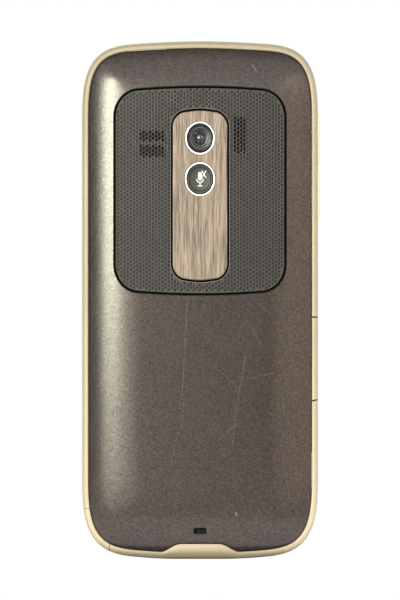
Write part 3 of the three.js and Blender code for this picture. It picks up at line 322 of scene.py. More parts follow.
@dataclass(frozen=True)
class Finish:
    """A surface finish: what is the same all over, and what its kind adds to it."""

    name: str
    slot: str
    colour: str
    roughness: float = 0.5
    metallic: float = 0.0
    coat: float = 0.0
    coat_roughness: float = 0.1
    depth: float = 0.08
    gloss: float = 0.5

    @cache
    def material(self) -> bpy.types.Material:
        """Returns the finish's material, made the first time it is asked for."""
        made = bpy.data.materials.new(self.name)
        made.use_nodes = True
        shader = made.node_tree.nodes["Principled BSDF"]
        plain = {
            "Base Color": linear(self.colour),
            "Roughness": self.roughness,
            "Metallic": self.metallic,
            "Coat Weight": self.coat,
            "Coat Roughness": self.coat_roughness,
            "Specular IOR Level": self.gloss,
        }
        for label, value in plain.items():
            shader.inputs[label].default_value = value
        self.detail(Graph(made.node_tree), shader.inputs)
        return made

    def detail(self, graph: Graph, inputs: Inputs) -> None:
        """Adds what varies over the surface.

        Args:
            graph: The material's nodes.
            inputs: Inputs of its shader.
        """
        raise NotImplementedError

    def tones(self, graph: Graph, tone: object) -> Socket:
        """Returns the colour between its darker and its lighter tone.

        Args:
            graph: The material's nodes.
            tone: How light it is, from 0 to 1.
        """
        dark, light = linear(self.colour, 1 - self.depth), linear(self.colour, 1 + self.depth)
        return graph.mixed(tone, dark, light)

    def rough(self, graph: Graph, inputs: Inputs, mask: object, spread: float) -> None:
        """Lets the roughness vary by a mask.

        Args:
            graph: The material's nodes.
            inputs: Inputs of its shader.
            mask: From 0, smoothest, to 1, roughest.
            spread: How far it goes to each side.
        """
        low, high = self.roughness - spread, self.roughness + spread
        graph.wire(inputs["Roughness"], graph.ranged(mask, 0.0, 1.0, low, high))

    def bump(self, graph: Graph, inputs: Inputs, height: object, rise: float) -> None:
        """Raises the surface by a height map.

        Args:
            graph: The material's nodes.
            inputs: Inputs of its shader.
            height: From 0 to 1.
            rise: What a height of 1 is, in millimetres.
        """
        node = graph.put("ShaderNodeBump", {"Height": height, "Distance": rise * MM})
        graph.wire(inputs["Normal"], node.outputs[0])


@dataclass(frozen=True)
class Scratch:
    """One fine scratch through points seen from the back, as X and Z pairs."""

    path: tuple[tuple[float, float], ...]
    width: float = 0.2
    strength: float = 0.35


@dataclass(frozen=True)
class Paint(Finish):
    """Metallic paint with flakes, hand smudges, worn edges and scratches."""

    flake: float = 0.3
    worn: str = "#e8dcc0"
    wear: float = 0.0
    smudge: float = 0.06
    texture: float = 0.006
    scratched: str = "#9c938c"
    scratches: tuple[Scratch, ...] = ()

    def detail(self, graph: Graph, inputs: Inputs) -> None:
        """Adds flakes, worn edges, scratches, smudges and a fine orange-peel surface."""
        tone = graph.group(flakes(), Size=self.flake).outputs["Tone"]
        colour = self.tones(graph, tone)
        if self.wear:
            mask = graph.group(wear(), Amount=self.wear).outputs["Mask"]
            colour = graph.mixed(mask, colour, linear(self.worn))
        marks = self.marks(graph)
        if marks:
            colour = graph.mixed(marks, colour, linear(self.scratched))
        graph.wire(inputs["Base Color"], colour)
        self.rough(graph, inputs, graph.group(smudges()).outputs["Mask"], self.smudge)
        height = graph.group(grain(), Size=self.flake * 1.4).outputs["Height"]
        self.bump(graph, inputs, height, self.texture)

    def marks(self, graph: Graph) -> Socket | None:
        """Returns the mask of all scratches together, or None if there are none."""
        mask = None
        for line in self.scratches:
            for start, end in zip(line.path, line.path[1:]):
                ends = {"From": (start[0], 0.0, start[1]), "To": (end[0], 0.0, end[1])}
                one = graph.group(scratch(), Width=line.width, **ends).outputs["Mask"]
                one = graph.math("MULTIPLY", one, line.strength)
                mask = one if mask is None else graph.math("MAXIMUM", mask, one)
        return mask


@dataclass(frozen=True)
class Brushed(Finish):
    """Metal brushed in one direction."""

    along: Axis = Axis.Z
    stretch: float = 0.02
    line: float = 0.14
    spread: float = 0.08
    rise: float = 0.008

    def detail(self, graph: Graph, inputs: Inputs) -> None:
        """Adds the brush lines to colour, roughness and surface."""
        along = tuple(self.stretch if one == self.along.value else 1.0 for one in range(3))
        tone = graph.group(streaks(), Size=self.line, Along=along).outputs["Tone"]
        graph.wire(inputs["Base Color"], self.tones(graph, tone))
        self.rough(graph, inputs, tone, self.spread)
        self.bump(graph, inputs, tone, self.rise)


@dataclass(frozen=True)
class Moulded(Finish):
    """Moulded plastic or rubber with a fine grain and edges rubbed lighter."""

    size: float = 0.25
    rise: float = 0.01
    worn: str = "#8a8580"
    wear: float = 0.25
    smudge: float = 0.06

    def detail(self, graph: Graph, inputs: Inputs) -> None:
        """Adds grain, light edges and smudges."""
        height = graph.group(grain(), Size=self.size).outputs["Height"]
        mask = graph.group(wear(), Amount=self.wear).outputs["Mask"]
        graph.wire(inputs["Base Color"], graph.mixed(mask, self.tones(graph, height), linear(self.worn)))
        self.rough(graph, inputs, graph.group(smudges()).outputs["Mask"], self.smudge)
        self.bump(graph, inputs, height, self.rise)


@dataclass(frozen=True)
class ShadedHollows(Moulded):
    """Moulded plastic with painted shade: its dimples and holes get darker, and reflect less, by the piece's
    own depth attribute.
    """

    # Near-black colour of the painted shade at the bottom of the dimples and holes
    shade_colour: str = "#050404"

    def detail(self, graph: Graph, inputs: Inputs) -> None:
        """Adds the moulded detail and then the painted shade of the dimples and holes, deeper ones darker."""
        super().detail(graph, inputs)
        colour = inputs["Base Color"].links[0].from_socket
        # Painted shade: the deeper a point lies, the nearer its colour goes to near-black, and the deep parts
        # turn metallic over that black so they mirror almost no light
        depth = graph.put("ShaderNodeAttribute", attribute_name="hollow").outputs["Fac"]
        graph.wire(inputs["Base Color"], graph.mixed(depth, colour, linear(self.shade_colour)))
        graph.wire(inputs["Metallic"], graph.ranged(depth, 0.5, 1.0, self.metallic, 1.0))


@dataclass(frozen=True)
class Glass(Finish):
    """Glass or clear plastic, see-through or over a dark display behind its window."""

    clear: float = 0.2
    window: tuple[float, float, float, float] | None = None
    behind: str = "#14171b"
    edge: float = 0.3

    def detail(self, graph: Graph, inputs: Inputs) -> None:
        """Adds finger smudges, faint dust in the colour and what shows through."""
        patches = graph.group(smudges(), Size=14.0).outputs["Mask"]
        self.rough(graph, inputs, patches, self.roughness * 0.5)
        dust = graph.group(flakes(), Size=0.5).outputs["Tone"]
        colour = self.tones(graph, dust)
        if self.window:
            colour = graph.mixed(self.within(graph), colour, linear(self.behind))
        else:
            graph.wire(inputs["Alpha"], graph.ranged(patches, 0.0, 1.0, self.clear, self.clear + 0.02))
        graph.wire(inputs["Base Color"], colour)

    def within(self, graph: Graph) -> Socket:
        """Returns the mask of the display's window, whose border is soft."""
        left, right, low, high = self.window
        place = graph.put("ShaderNodeSeparateXYZ", {0: graph.millimetres()}).outputs
        rooms = []
        for label, start, end in (("X", left, right), ("Z", low, high)):
            rooms += [graph.math("SUBTRACT", place[label], start), graph.math("SUBTRACT", end, place[label])]
        across, upwards = graph.math("MINIMUM", *rooms[:2]), graph.math("MINIMUM", *rooms[2:])
        return graph.ranged(graph.math("MINIMUM", across, upwards), 0.0, self.edge, 0.0, 1.0)


@dataclass(frozen=True)
class Circuit(Finish):
    """Circuit board with copper lines under its varnish and gold pads."""

    line: str = "#2f7048"
    pad: str = "#c9a552"

    def detail(self, graph: Graph, inputs: Inputs) -> None:
        """Adds tracks and pads from cell patterns."""
        place = graph.millimetres()
        bricks = graph.put(
            "ShaderNodeTexBrick",
            {"Vector": place, "Scale": 0.35, "Mortar Size": 0.05, "Mortar Smooth": 0.1},
        ).outputs["Fac"]
        cells = graph.put("ShaderNodeTexVoronoi", {"Vector": place, "Scale": 0.7}).outputs["Distance"]
        pads = graph.ranged(cells, 0.14, 0.18, 1.0, 0.0)
        tone = self.tones(graph, graph.group(grain(), Size=0.6).outputs["Height"])
        colour = graph.mixed(bricks, tone, linear(self.line))
        graph.wire(inputs["Base Color"], graph.mixed(pads, colour, linear(self.pad)))
        self.rough(graph, inputs, bricks, 0.08)
        self.bump(graph, inputs, graph.math("MAXIMUM", bricks, pads), 0.03)


@dataclass(frozen=True)
class Screen(Finish):
    """Dark liquid-crystal panel with its fine rows of cells."""

    pitch: float = 0.5

    def detail(self, graph: Graph, inputs: Inputs) -> None:
        """Adds the grid of cells and a soft sheen across the panel."""
        place = graph.put("ShaderNodeSeparateXYZ", {0: graph.millimetres()}).outputs
        counts = [graph.math("DIVIDE", place[label], self.pitch) for label in ("X", "Z")]
        waves = [graph.math("PINGPONG", count, 1.0) for count in counts]
        cells = graph.ranged(graph.math("MINIMUM", *waves), 0.05, 0.2, 0.0, 1.0)
        cloud = graph.group(smudges(), Size=30.0).outputs["Mask"]
        graph.wire(inputs["Base Color"], self.tones(graph, graph.blend(cells, cloud, 0.5)))
        self.rough(graph, inputs, cloud, 0.05)


# The picture's pixel at the phone's foot, and the size of a pixel across and down in millimetres
PHOTO_FOOT = (199.75, 559.0)
PHOTO_SCALE = (0.2508, 0.2239)


def photo_point(across: float, down: float) -> Pair:
    """Turns a pixel of the 400 by 600 picture into X and Z on the back of the phone."""
    return (across - PHOTO_FOOT[0]) * PHOTO_SCALE[0], (PHOTO_FOOT[1] - down) * PHOTO_SCALE[1]


SCRATCHES = tuple(
    Scratch(tuple(photo_point(*at) for at in path), width, strength)
    for path, width, strength in (
        (((187, 296), (185.6, 328), (184, 359), (182, 389.5), (179.5, 409)), 0.15, 0.18),
        (((184, 397), (181, 425), (175.7, 440), (170, 470)), 0.15, 0.16),
        (((245, 356), (243, 373), (239, 391), (235, 417), (232, 446)), 0.15, 0.18),
        (((222.4, 372.7), (238.4, 389.5)), 0.14, 0.18),
        (((246.8, 378.8), (274.4, 372.7)), 0.14, 0.15),
        (((246.8, 320.6), (262, 346.6)), 0.14, 0.15),
        (((217.8, 440), (239, 421.6)), 0.14, 0.15),
        (((259, 304.5), (270.6, 314.5)), 0.15, 0.18),
        (((252, 64.4), (256.3, 71.3)), 0.22, 0.5),
        (((236, 513), (236.5, 516)), 0.25, 0.5),
    )
)

FRAME_PAINT = Paint("champagne_paint", "champagne", "#b8a98a", 0.45, 0.05, depth=0.06, wear=0.12, gloss=0.25)
# Polished, coated champagne paint of the rocker, the power button and the bar, lighter than the frame's: its
# smoothness and coat are its own, its lighter tone is a painted highlight
POLISHED_HIGHLIT_PAINT = Paint(
    "polished_champagne_paint", "polished_champagne", "#e4d9b9", 0.25, 0.4, coat=0.4, depth=0.04
)
COVER_PAINT = Paint(
    "bronze_paint", "bronze_paint", "#362d29", 0.21, 0.4, coat=0.1, coat_roughness=0.16,
    gloss=0.25, depth=0.85, flake=0.23, smudge=0.015, texture=0.012, scratches=SCRATCHES,
)
# Dark grille plastic whose dimples and holes carry painted shade by their depth
PANEL = ShadedHollows(
    "dark_grille_plastic", "dark_grille", "#322c2a", 0.28, 0.2,
    depth=0.6, rise=0.016, wear=0, smudge=0.01, gloss=0.25,
)
# Near-black bands deep in the gaps round the speaker panel and the strip: painted shade of the gaps
GAP_SHADE = Moulded("seal_rubber", "chassis_black", "#070606", 0.8, depth=0.1, rise=0.004, wear=0, gloss=0.05)
# Lighter copy of the dark grille plastic for the lip round the strip's opening: its lighter tone is a painted
# highlight
PANEL_EDGE_HIGHLIT = Moulded("dark_grille_edge", "dark_grille", "#6d675f", 0.35, 0.3, depth=0.06)
STRIP = Brushed(
    "brushed_bronze_metal", "brushed_bronze", "#5f5147", 0.36, 0.6, depth=0.9, line=0.19, stretch=0.05
)
CHROME = Brushed("turned_chrome", "chrome", "#e9e5dd", 0.16, 0.85, depth=0.03, line=0.5, rise=0.001)
CAMERA_GLASS = Glass("camera_window_glass", "dark_glass", "#101014", 0.05, clear=0.12)
LENS = Moulded("lens_black", "lens_black", "#141417", 0.3, depth=0.1, rise=0.002)
LENS_COAT = Glass("lens_coating", "lens_black", "#2c2038", 0.04, coat=0.6, clear=0.98)
MUTE_BROWN = Moulded("button_brown_plastic", "button_brown", "#231c1a", 0.42, 0.1, depth=0.08, gloss=0.35)
MARK_GREY = Moulded("mark_grey", "chrome", "#c9c6bf", 0.4, 0.2, depth=0.04, rise=0.002)
CHASSIS = Moulded(
    "chassis_black_plastic", "chassis_black", "#1a1919", 0.55,
    depth=0.12, rise=0.015, wear=0.08, smudge=0.02, gloss=0.12,
)
BATTERY = Moulded("battery_wrap", "battery_grey", "#83868a", 0.45, depth=0.06, size=1.2)
BOARD = Circuit("circuit_board", "board_green", "#23583a", 0.4, depth=0.12)
SHIELD = Brushed("shield_steel_sheet", "shield_steel", "#b4b6b6", 0.34, 0.9, depth=0.07, line=0.4)
STEEL = Brushed("machined_steel", "steel", "#a9a9a8", 0.3, 0.9, depth=0.08, line=0.2)
GOLD = Brushed("gold_plate", "gold_contact", "#d3a94f", 0.25, 0.9, depth=0.06, line=0.2)
DECK = Brushed("deck_brown_metal", "deck_brown", "#4b423c", 0.38, 0.45, depth=0.18)
KEY = Paint("key_silver_paint", "key_silver", "#c6c3bb", 0.36, 0.25, depth=0.05, flake=0.2)
CLEAR = Moulded("dome_sheet_film", "clear_sheet", "#cfd3d2", 0.25, depth=0.04, rise=0.004)
STYLUS = Moulded("stylus_black_plastic", "stylus_black", "#1d1c1c", 0.35, depth=0.1)
TIP = Moulded("stylus_tip_plastic", "tip_grey", "#77767a", 0.4, depth=0.06)
BEZEL_PAINT = Paint(
    "bezel_bronze_paint", "bronze_paint", "#5c524c", 0.36, 0.5, coat=0.2, depth=0.16, flake=0.28
)
TOUCH_GLASS = Glass("touch_glass_pane", "dark_glass", "#050506", 0.03, window=(-25.2, 25.2, 19.5, 105.5))
FRONT_KEY = Paint("front_key_paint", "key_silver", "#b9b2a6", 0.3, 0.35, coat=0.3, depth=0.05, flake=0.2)
MARK_DARK, MARK_GREEN, MARK_RED = (
    Moulded(f"mark_{name}", "", colour, 0.4, depth=0.05, rise=0.002, wear=0)
    for name, colour in (("dark", "#3b3430"), ("green", "#3f8f4e"), ("red", "#b03a34"))
)
SPEAKER = Moulded("loudspeaker_plastic", "chassis_black", "#1a1a1b", 0.6, depth=0.1, size=0.4, rise=0.03)
PAPER = Moulded("floor_paper", "", "#f4f3f1", 0.8, depth=0.01, size=3, wear=0)
PLATE = Brushed("carriage_steel_plate", "steel", "#8f8d8a", 0.36, 0.85, depth=0.1, line=0.3, along=Axis.X)
LCD = Screen("liquid_crystal_panel", "lcd_grey", "#2a2f33", 0.3, depth=0.04)


# Shapes


def quarter_turn(steps: int) -> np.ndarray:
    """Angles from nothing to a quarter turn, in equal steps."""
    return np.linspace(0.0, QUARTER, steps + 1)


def circle(sides: int) -> np.ndarray:
    """Points of a circle of radius one, anticlockwise."""
    turn = np.arange(sides) * 2 * pi / sides
    return np.stack([np.cos(turn), np.sin(turn)], 1)


def arch(outer: Pair, inner: Pair, start: float, end: float, steps: int) -> np.ndarray:
    """Outline between two bows round the same middle.

    Args:
        outer: Half width and half height of the outer bow.
        inner: The same of the inner bow.
        start: Angle at which both start.
        end: Angle at which both end.
        steps: Points of each.

    Returns:
        Its points as X and Z.
    """
    sweep = np.linspace(start, end, steps)
    sides = ((outer, sweep), (inner, sweep[::-1]))
    return np.concatenate([np.stack([a * np.cos(turn), b * np.sin(turn)], 1) for (a, b), turn in sides])


def rounded_rect(
    left: float, right: float, low: float, high: float, corner: float, steps: int = 6
) -> np.ndarray:
    """Makes a rectangle with round corners.

    Args:
        left: Its left side.
        right: Its right side.
        low: Its lower side.
        high: Its upper side.
        corner: Radius of its corners.
        steps: Edges of each corner.

    Returns:
        Its points as X and Z.
    """
    centres = (
        (right - corner, high - corner),
        (left + corner, high - corner),
        (left + corner, low + corner),
        (right - corner, low + corner),
    )
    made = []
    for side, (x, z) in enumerate(centres):
        for angle in quarter_turn(steps) + side * QUARTER:
            made.append((x + corner * cos(angle), z + corner * sin(angle)))
    return np.array(made)


def grown(outline: np.ndarray, margin: float) -> np.ndarray:
    """Moves each point of a closed outline outwards.

    Args:
        outline: Points as X and Z, anticlockwise.
        margin: How far, or inwards if negative.

    Returns:
        The points moved.
    """
    before = outline - np.roll(outline, 1, 0)
    after = np.roll(outline, -1, 0) - outline
    sides = []
    for edge in (before, after):
        length = np.maximum(np.linalg.norm(edge, axis=1, keepdims=True), 1e-9)
        sides.append(np.stack([edge[:, 1], -edge[:, 0]], 1) / length)
    whole = sides[0] + sides[1]
    reach = np.maximum(1 + np.sum(sides[0] * sides[1], 1, keepdims=True), 0.3)
    return outline + margin * whole / reach


def nearest(points: np.ndarray, outline: np.ndarray) -> tuple[np.ndarray, np.ndarray]:
    """Finds where points are closest to a closed outline.

    Args:
        points: Points as X and Z.
        outline: The outline's points.

    Returns:
        The closest places on the outline, and how far inside it each point is.
    """
    start, edge = outline, np.roll(outline, -1, 0) - outline
    reach = points[:, None, :] - start[None]
    share = np.clip(np.sum(reach * edge[None], 2) / np.maximum(np.sum(edge * edge, 1), 1e-12), 0, 1)
    place = start[None] + share[..., None] * edge[None]
    off = np.linalg.norm(points[:, None, :] - place, axis=2)
    best = off.argmin(1)
    rows = np.arange(len(points))
    ends = start + edge
    crosses = (start[None, :, 1] > points[:, None, 1]) != (ends[None, :, 1] > points[:, None, 1])
    rise = np.where(np.abs(edge[:, 1]) < 1e-12, 1e-12, edge[:, 1])
    at = start[None, :, 0] + (points[:, None, 1] - start[None, :, 1]) * edge[None, :, 0] / rise[None]
    inside = (np.sum(crosses & (points[:, None, 0] < at), 1) % 2).astype(bool)
    return place[rows, best], np.where(inside, off[rows, best], -off[rows, best])


def at_level(outline: np.ndarray, level: float | np.ndarray) -> np.ndarray:
    """Stands an outline of X and Z up at a level along Y."""
    made = np.zeros((len(outline), 3))
    made[:, 0], made[:, 1], made[:, 2] = outline[:, 0], level, outline[:, 1]
    return made


class Shell:
    """Points and faces of a mesh under construction, in millimetres."""

    def __init__(self) -> None:
        """Starts with nothing."""
        self.points: list[np.ndarray] = []
        self.faces: list[tuple[int, ...]] = []
        self.count = 0

    def add(self, points: np.ndarray, faces: Iterable[Sequence[int]]) -> "Shell":
        """Takes in more points and the faces between them.

        Args:
            points: Points as X, Y and Z.
            faces: Corners of each face, counted from the first of these points.

        Returns:
            The shell itself.
        """
        self.points.append(np.asarray(points, float))
        self.faces += [tuple(i + self.count for i in face) for face in faces]
        self.count += len(points)
        return self

    def loft(self, rings: Sequence[np.ndarray], looped: bool = False) -> "Shell":
        """Adds a skin through rings of equally many points.

        Args:
            rings: The rings, one after the other.
            looped: Whether the last ring joins the first one, instead of end faces.

        Returns:
            The shell itself.
        """
        count, levels = len(rings[0]), len(rings)
        faces: list[tuple[int, ...]] = []
        for level in range(levels if looped else levels - 1):
            low, high = level * count, (level + 1) % levels * count
            for i in range(count):
                after = (i + 1) % count
                faces.append((low + i, low + after, high + after, high + i))
        if not looped:
            faces.append(tuple(range(count - 1, -1, -1)))
            faces.append(tuple(range((levels - 1) * count, levels * count)))
        return self.add(np.concatenate(rings), faces)

    def prism(self, outline: np.ndarray, back: float, front: float, bevel: float = 0.0) -> "Shell":
        """Adds a slab of an outline along Y, with its edges rounded off.

        Args:
            outline: Points as X and Z, anticlockwise.
            back: Level of its back.
            front: Level of its front.
            bevel: Radius of both rims.

        Returns:
            The shell itself.
        """
        if not bevel:
            return self.loft([at_level(outline, back), at_level(outline, front)])
        rim = [(bevel + FLAT_BORDER, 0.0)]
        rim += [(bevel * (1 - sin(a)), bevel * (1 - cos(a))) for a in quarter_turn(3)]
        rings = [at_level(grown(outline, -inset), back + drop) for inset, drop in rim]
        rings += [at_level(grown(outline, -inset), front - drop) for inset, drop in reversed(rim)]
        return self.loft(rings)

    def turned(self, profile: Sequence[tuple[float, float]], x: float, z: float, sides: int = 48) -> "Shell":
        """Adds a closed profile turned round an axis along Y.

        Args:
            profile: Pairs of radius and level.
            x: Place of the axis.
            z: Height of the axis.
            sides: Edges of each ring.

        Returns:
            The shell itself.
        """
        centre = np.array([x, z])
        rings = [at_level(centre + circle(sides) * max(radius, 0), level) for radius, level in profile]
        return self.loft(rings, looped=profile[0][0] > 0 or profile[-1][0] > 0)

    def rod(
        self, profile: Sequence[tuple[float, float]], x: float, y: float, sides: int = 32
    ) -> "Shell":
        """Adds a profile of radius and height turned round an axis along Z.

        Args:
            profile: Pairs of radius and height, closed by end faces.
            x: Place of the axis.
            y: Level of the axis.
            sides: Edges of each ring.

        Returns:
            The shell itself.
        """
        return self.loft([np.insert(circle(sides) * radius + (x, y), 2, z, axis=1) for radius, z in profile])

    def band(self, outer: np.ndarray, inner: np.ndarray, back: float, front: float) -> "Shell":
        """Adds what lies between two outlines, from a back level to a front level."""
        rings = ((outer, back), (outer, front), (inner, front), (inner, back))
        return self.loft([at_level(outline, level) for outline, level in rings], looped=True)

    def box(self, low: Sequence[float], high: Sequence[float], bevel: float = 0.0) -> "Shell":
        """Adds a block between two corners, with all its edges rounded off."""
        if bevel:
            outline = rounded_rect(low[0], high[0], low[2], high[2], bevel * 1.5, 4)
        else:
            outline = np.array([(low[0], low[2]), (high[0], low[2]), (high[0], high[2]), (low[0], high[2])])
        return self.prism(outline, low[1], high[1], bevel)

    def mesh(self, name: str) -> Mesh:
        """Makes the Blender mesh, merged and with its faces outwards, in metres."""
        made = bpy.data.meshes.new(name)
        made.from_pydata((np.concatenate(self.points) * MM).tolist(), [], self.faces)
        mended(made)
        return made

    def stand(self, name: str, finish: Finish, body: Body, *nodes: str) -> None:
        """Makes the visible piece of this shape, which stands for the named solids."""
        piece(name, self.mesh(name), finish, body, nodes)


def placed(name: str, data: bpy.types.ID | None) -> bpy.types.Object:
    """Makes an object of some data and puts it into the scene."""
    made = bpy.data.objects.new(name, data)
    bpy.context.scene.collection.objects.link(made)
    return made


def mended(mesh: Mesh) -> None:
    """Merges what coincides in a mesh and turns its faces outwards."""
    edit = bmesh.new()
    edit.from_mesh(mesh)
    bmesh.ops.remove_doubles(edit, verts=edit.verts, dist=MERGE)
    bmesh.ops.dissolve_degenerate(edit, edges=edit.edges, dist=MERGE)
    bmesh.ops.recalc_face_normals(edit, faces=edit.faces)
    edit.to_mesh(mesh)
    edit.free()


def evaluated(mesh: Mesh, prepare: Callable[[bpy.types.Object], None]) -> Mesh:
    """Runs modifiers on a mesh and takes the plain result.

    Args:
        mesh: The mesh they run on.
        prepare: Adds the modifiers to the object it is given.

    Returns:
        The new mesh.
    """
    carrier = placed(mesh.name, mesh)
    prepare(carrier)
    graph = bpy.context.evaluated_depsgraph_get()
    graph.update()
    result = carrier.evaluated_get(graph)
    made = bpy.data.meshes.new_from_object(result, preserve_all_data_layers=True, depsgraph=graph)
    made.name = mesh.name
    bpy.data.objects.remove(carrier)
    return made


def carved(
    mesh: Mesh, cutters: Sequence["Shell | Mesh"], keep_inside: bool = False
) -> Mesh:
    """Cuts shells out of a mesh.

    Args:
        mesh: The mesh.
        cutters: What is taken away.
        keep_inside: Whether what lies inside the cutters stays instead.

    Returns:
        The mesh that is left.
    """
    tools = []
    for number, cutter in enumerate(cutters):
        shape = cutter.mesh(f"cutter_{number}") if isinstance(cutter, Shell) else cutter
        tools.append(placed(f"cutter_{number}", shape))

    def prepare(carrier: bpy.types.Object) -> None:
        """Adds one Boolean modifier for each cutter."""
        for tool in tools:
            modifier = carrier.modifiers.new(tool.name, "BOOLEAN")
            modifier.operation = "INTERSECT" if keep_inside else "DIFFERENCE"
            modifier.solver = "EXACT"
            modifier.object = tool

    made = evaluated(mesh, prepare)
    for tool in tools:
        data = tool.data
        bpy.data.objects.remove(tool)
        bpy.data.meshes.remove(data)
    return made


def piece(
    name: str, mesh: Mesh, finish: Finish, body: Body, nodes: Sequence[str] = (), sharp: float = 34
) -> bpy.types.Object:
    """Makes a visible piece that rides on a body.

    Args:
        name: The piece's name.
        mesh: Its mesh, in place.
        finish: Its finish.
        body: What it moves with.
        nodes: Solids that it stands for.
        sharp: Edges that turn more than this many degrees stay sharp.

    Returns:
        The piece.
    """
    made = placed(name, mesh)
    mesh.materials.clear()
    mesh.materials.append(finish.material())
    mesh.shade_smooth()
    mesh.set_sharp_from_angle(angle=radians(sharp))
    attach(made, body.value)
    if nodes:
        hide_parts(*nodes)
    LOG.info("%s: %d faces on %s", name, len(mesh.polygons), body.value)
    return made


def extent(node: str) -> tuple[np.ndarray, np.ndarray]:
    """Lowest and highest corner of a solid, in millimetres."""
    low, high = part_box(node)
    return np.array(low) / MM, np.array(high) / MM


# Geometry Nodes trees


class Growth:
    """A Geometry Nodes tree with named inputs, which ends in Realize Instances and Set Material."""

    def __init__(self, name: str, inputs: dict[str, float | str]) -> None:
        """Makes the tree and its sockets.

        Args:
            name: The tree's name.
            inputs: Default of each number, or the socket type of anything else.
        """
        self.tree = bpy.data.node_groups.new(name, "GeometryNodeTree")
        self.keys: dict[str, str] = {}
        sockets = self.tree.interface
        sockets.new_socket("Geometry", in_out="OUTPUT", socket_type="NodeSocketGeometry")
        sockets.new_socket("Geometry", in_out="INPUT", socket_type="NodeSocketGeometry")
        for label, value in {**inputs, "Finish": "Material"}.items():
            kind = value if isinstance(value, str) else "Float"
            socket = sockets.new_socket(label, in_out="INPUT", socket_type=f"NodeSocket{kind}")
            if not isinstance(value, str):
                socket.default_value = value
            self.keys[label] = socket.identifier
        self.graph = Graph(self.tree)
        self.entry = self.graph.put("NodeGroupInput").outputs

    def attribute(self, name: str) -> Socket:
        """Returns a number that the mesh carries under a name."""
        node = self.graph.put("GeometryNodeInputNamedAttribute", {"Name": name}, data_type="FLOAT")
        return node.outputs[0]

    def close(self, geometry: Socket) -> None:
        """Ends the tree in Realize Instances and Set Material."""
        real = self.graph.put("GeometryNodeRealizeInstances", {"Geometry": geometry}).outputs[0]
        inputs = {"Geometry": real, "Material": self.entry["Finish"]}
        dressed = self.graph.put("GeometryNodeSetMaterial", inputs).outputs[0]
        self.graph.put("NodeGroupOutput", {0: dressed})

    def run(self, mesh: Mesh, finish: Finish, **values: object) -> Mesh:
        """Runs the tree on a mesh.

        Args:
            mesh: The mesh that goes in.
            finish: The finish of what comes out.
            values: Inputs by name.

        Returns:
            The plain mesh that comes out.
        """

        def prepare(carrier: bpy.types.Object) -> None:
            """Adds the tree as a modifier and sets its inputs."""
            modifier = carrier.modifiers.new(self.tree.name, "NODES")
            modifier.node_group = self.tree
            modifier[self.keys["Finish"]] = finish.material()
            for label, value in values.items():
                modifier[self.keys[label]] = value

        return evaluated(mesh, prepare)


class CrownRule(Growth):
    """Gives a flat skin the crown of the battery cover, by how far in from the outline it is."""

    def __init__(self) -> None:
        """Builds the tree: the level falls off by a power of the share left to the flat middle."""
        sizes = {"Edge": 1.65, "Reach": 10.0, "Crown": 1.75, "Power": 2.2, "Back": -8.625}
        super().__init__("crown_rule", sizes)
        graph, entry = self.graph, self.entry
        inset, rise = self.attribute("inset"), self.attribute("rise")
        share = graph.math("DIVIDE", graph.math("SUBTRACT", inset, entry["Edge"]), entry["Reach"])
        left = graph.math("MAXIMUM", graph.math("SUBTRACT", 1.0, share), 0.0)
        drop = graph.math("MULTIPLY", graph.math("POWER", left, entry["Power"]), entry["Crown"])
        level = graph.math("ADD", graph.math("ADD", drop, entry["Back"]), rise)
        offset = graph.put("ShaderNodeCombineXYZ", {"Y": graph.math("MULTIPLY", level, MM)}).outputs[0]
        free = graph.math("LESS_THAN", self.attribute("fixed"), 0.5)
        inputs = {"Geometry": entry["Geometry"], "Selection": free, "Offset": offset}
        self.close(graph.put("GeometryNodeSetPosition", inputs).outputs[0])


class Lattice(Growth):
    """Stands one small cell on each point, with the point's own depth along Y."""

    def __init__(self) -> None:
        """Builds the tree: Instance on Points, scaled along Y by the attribute depth."""
        super().__init__("lattice", {"Cell": "Object"})
        graph, entry = self.graph, self.entry
        cell = graph.put("GeometryNodeObjectInfo", {"Object": entry["Cell"]}).outputs["Geometry"]
        stretch = {"X": 1.0, "Y": self.attribute("depth"), "Z": 1.0}
        size = graph.put("ShaderNodeCombineXYZ", stretch).outputs[0]
        inputs = {"Points": entry["Geometry"], "Instance": cell, "Scale": size}
        self.close(graph.put("GeometryNodeInstanceOnPoints", inputs).outputs[0])


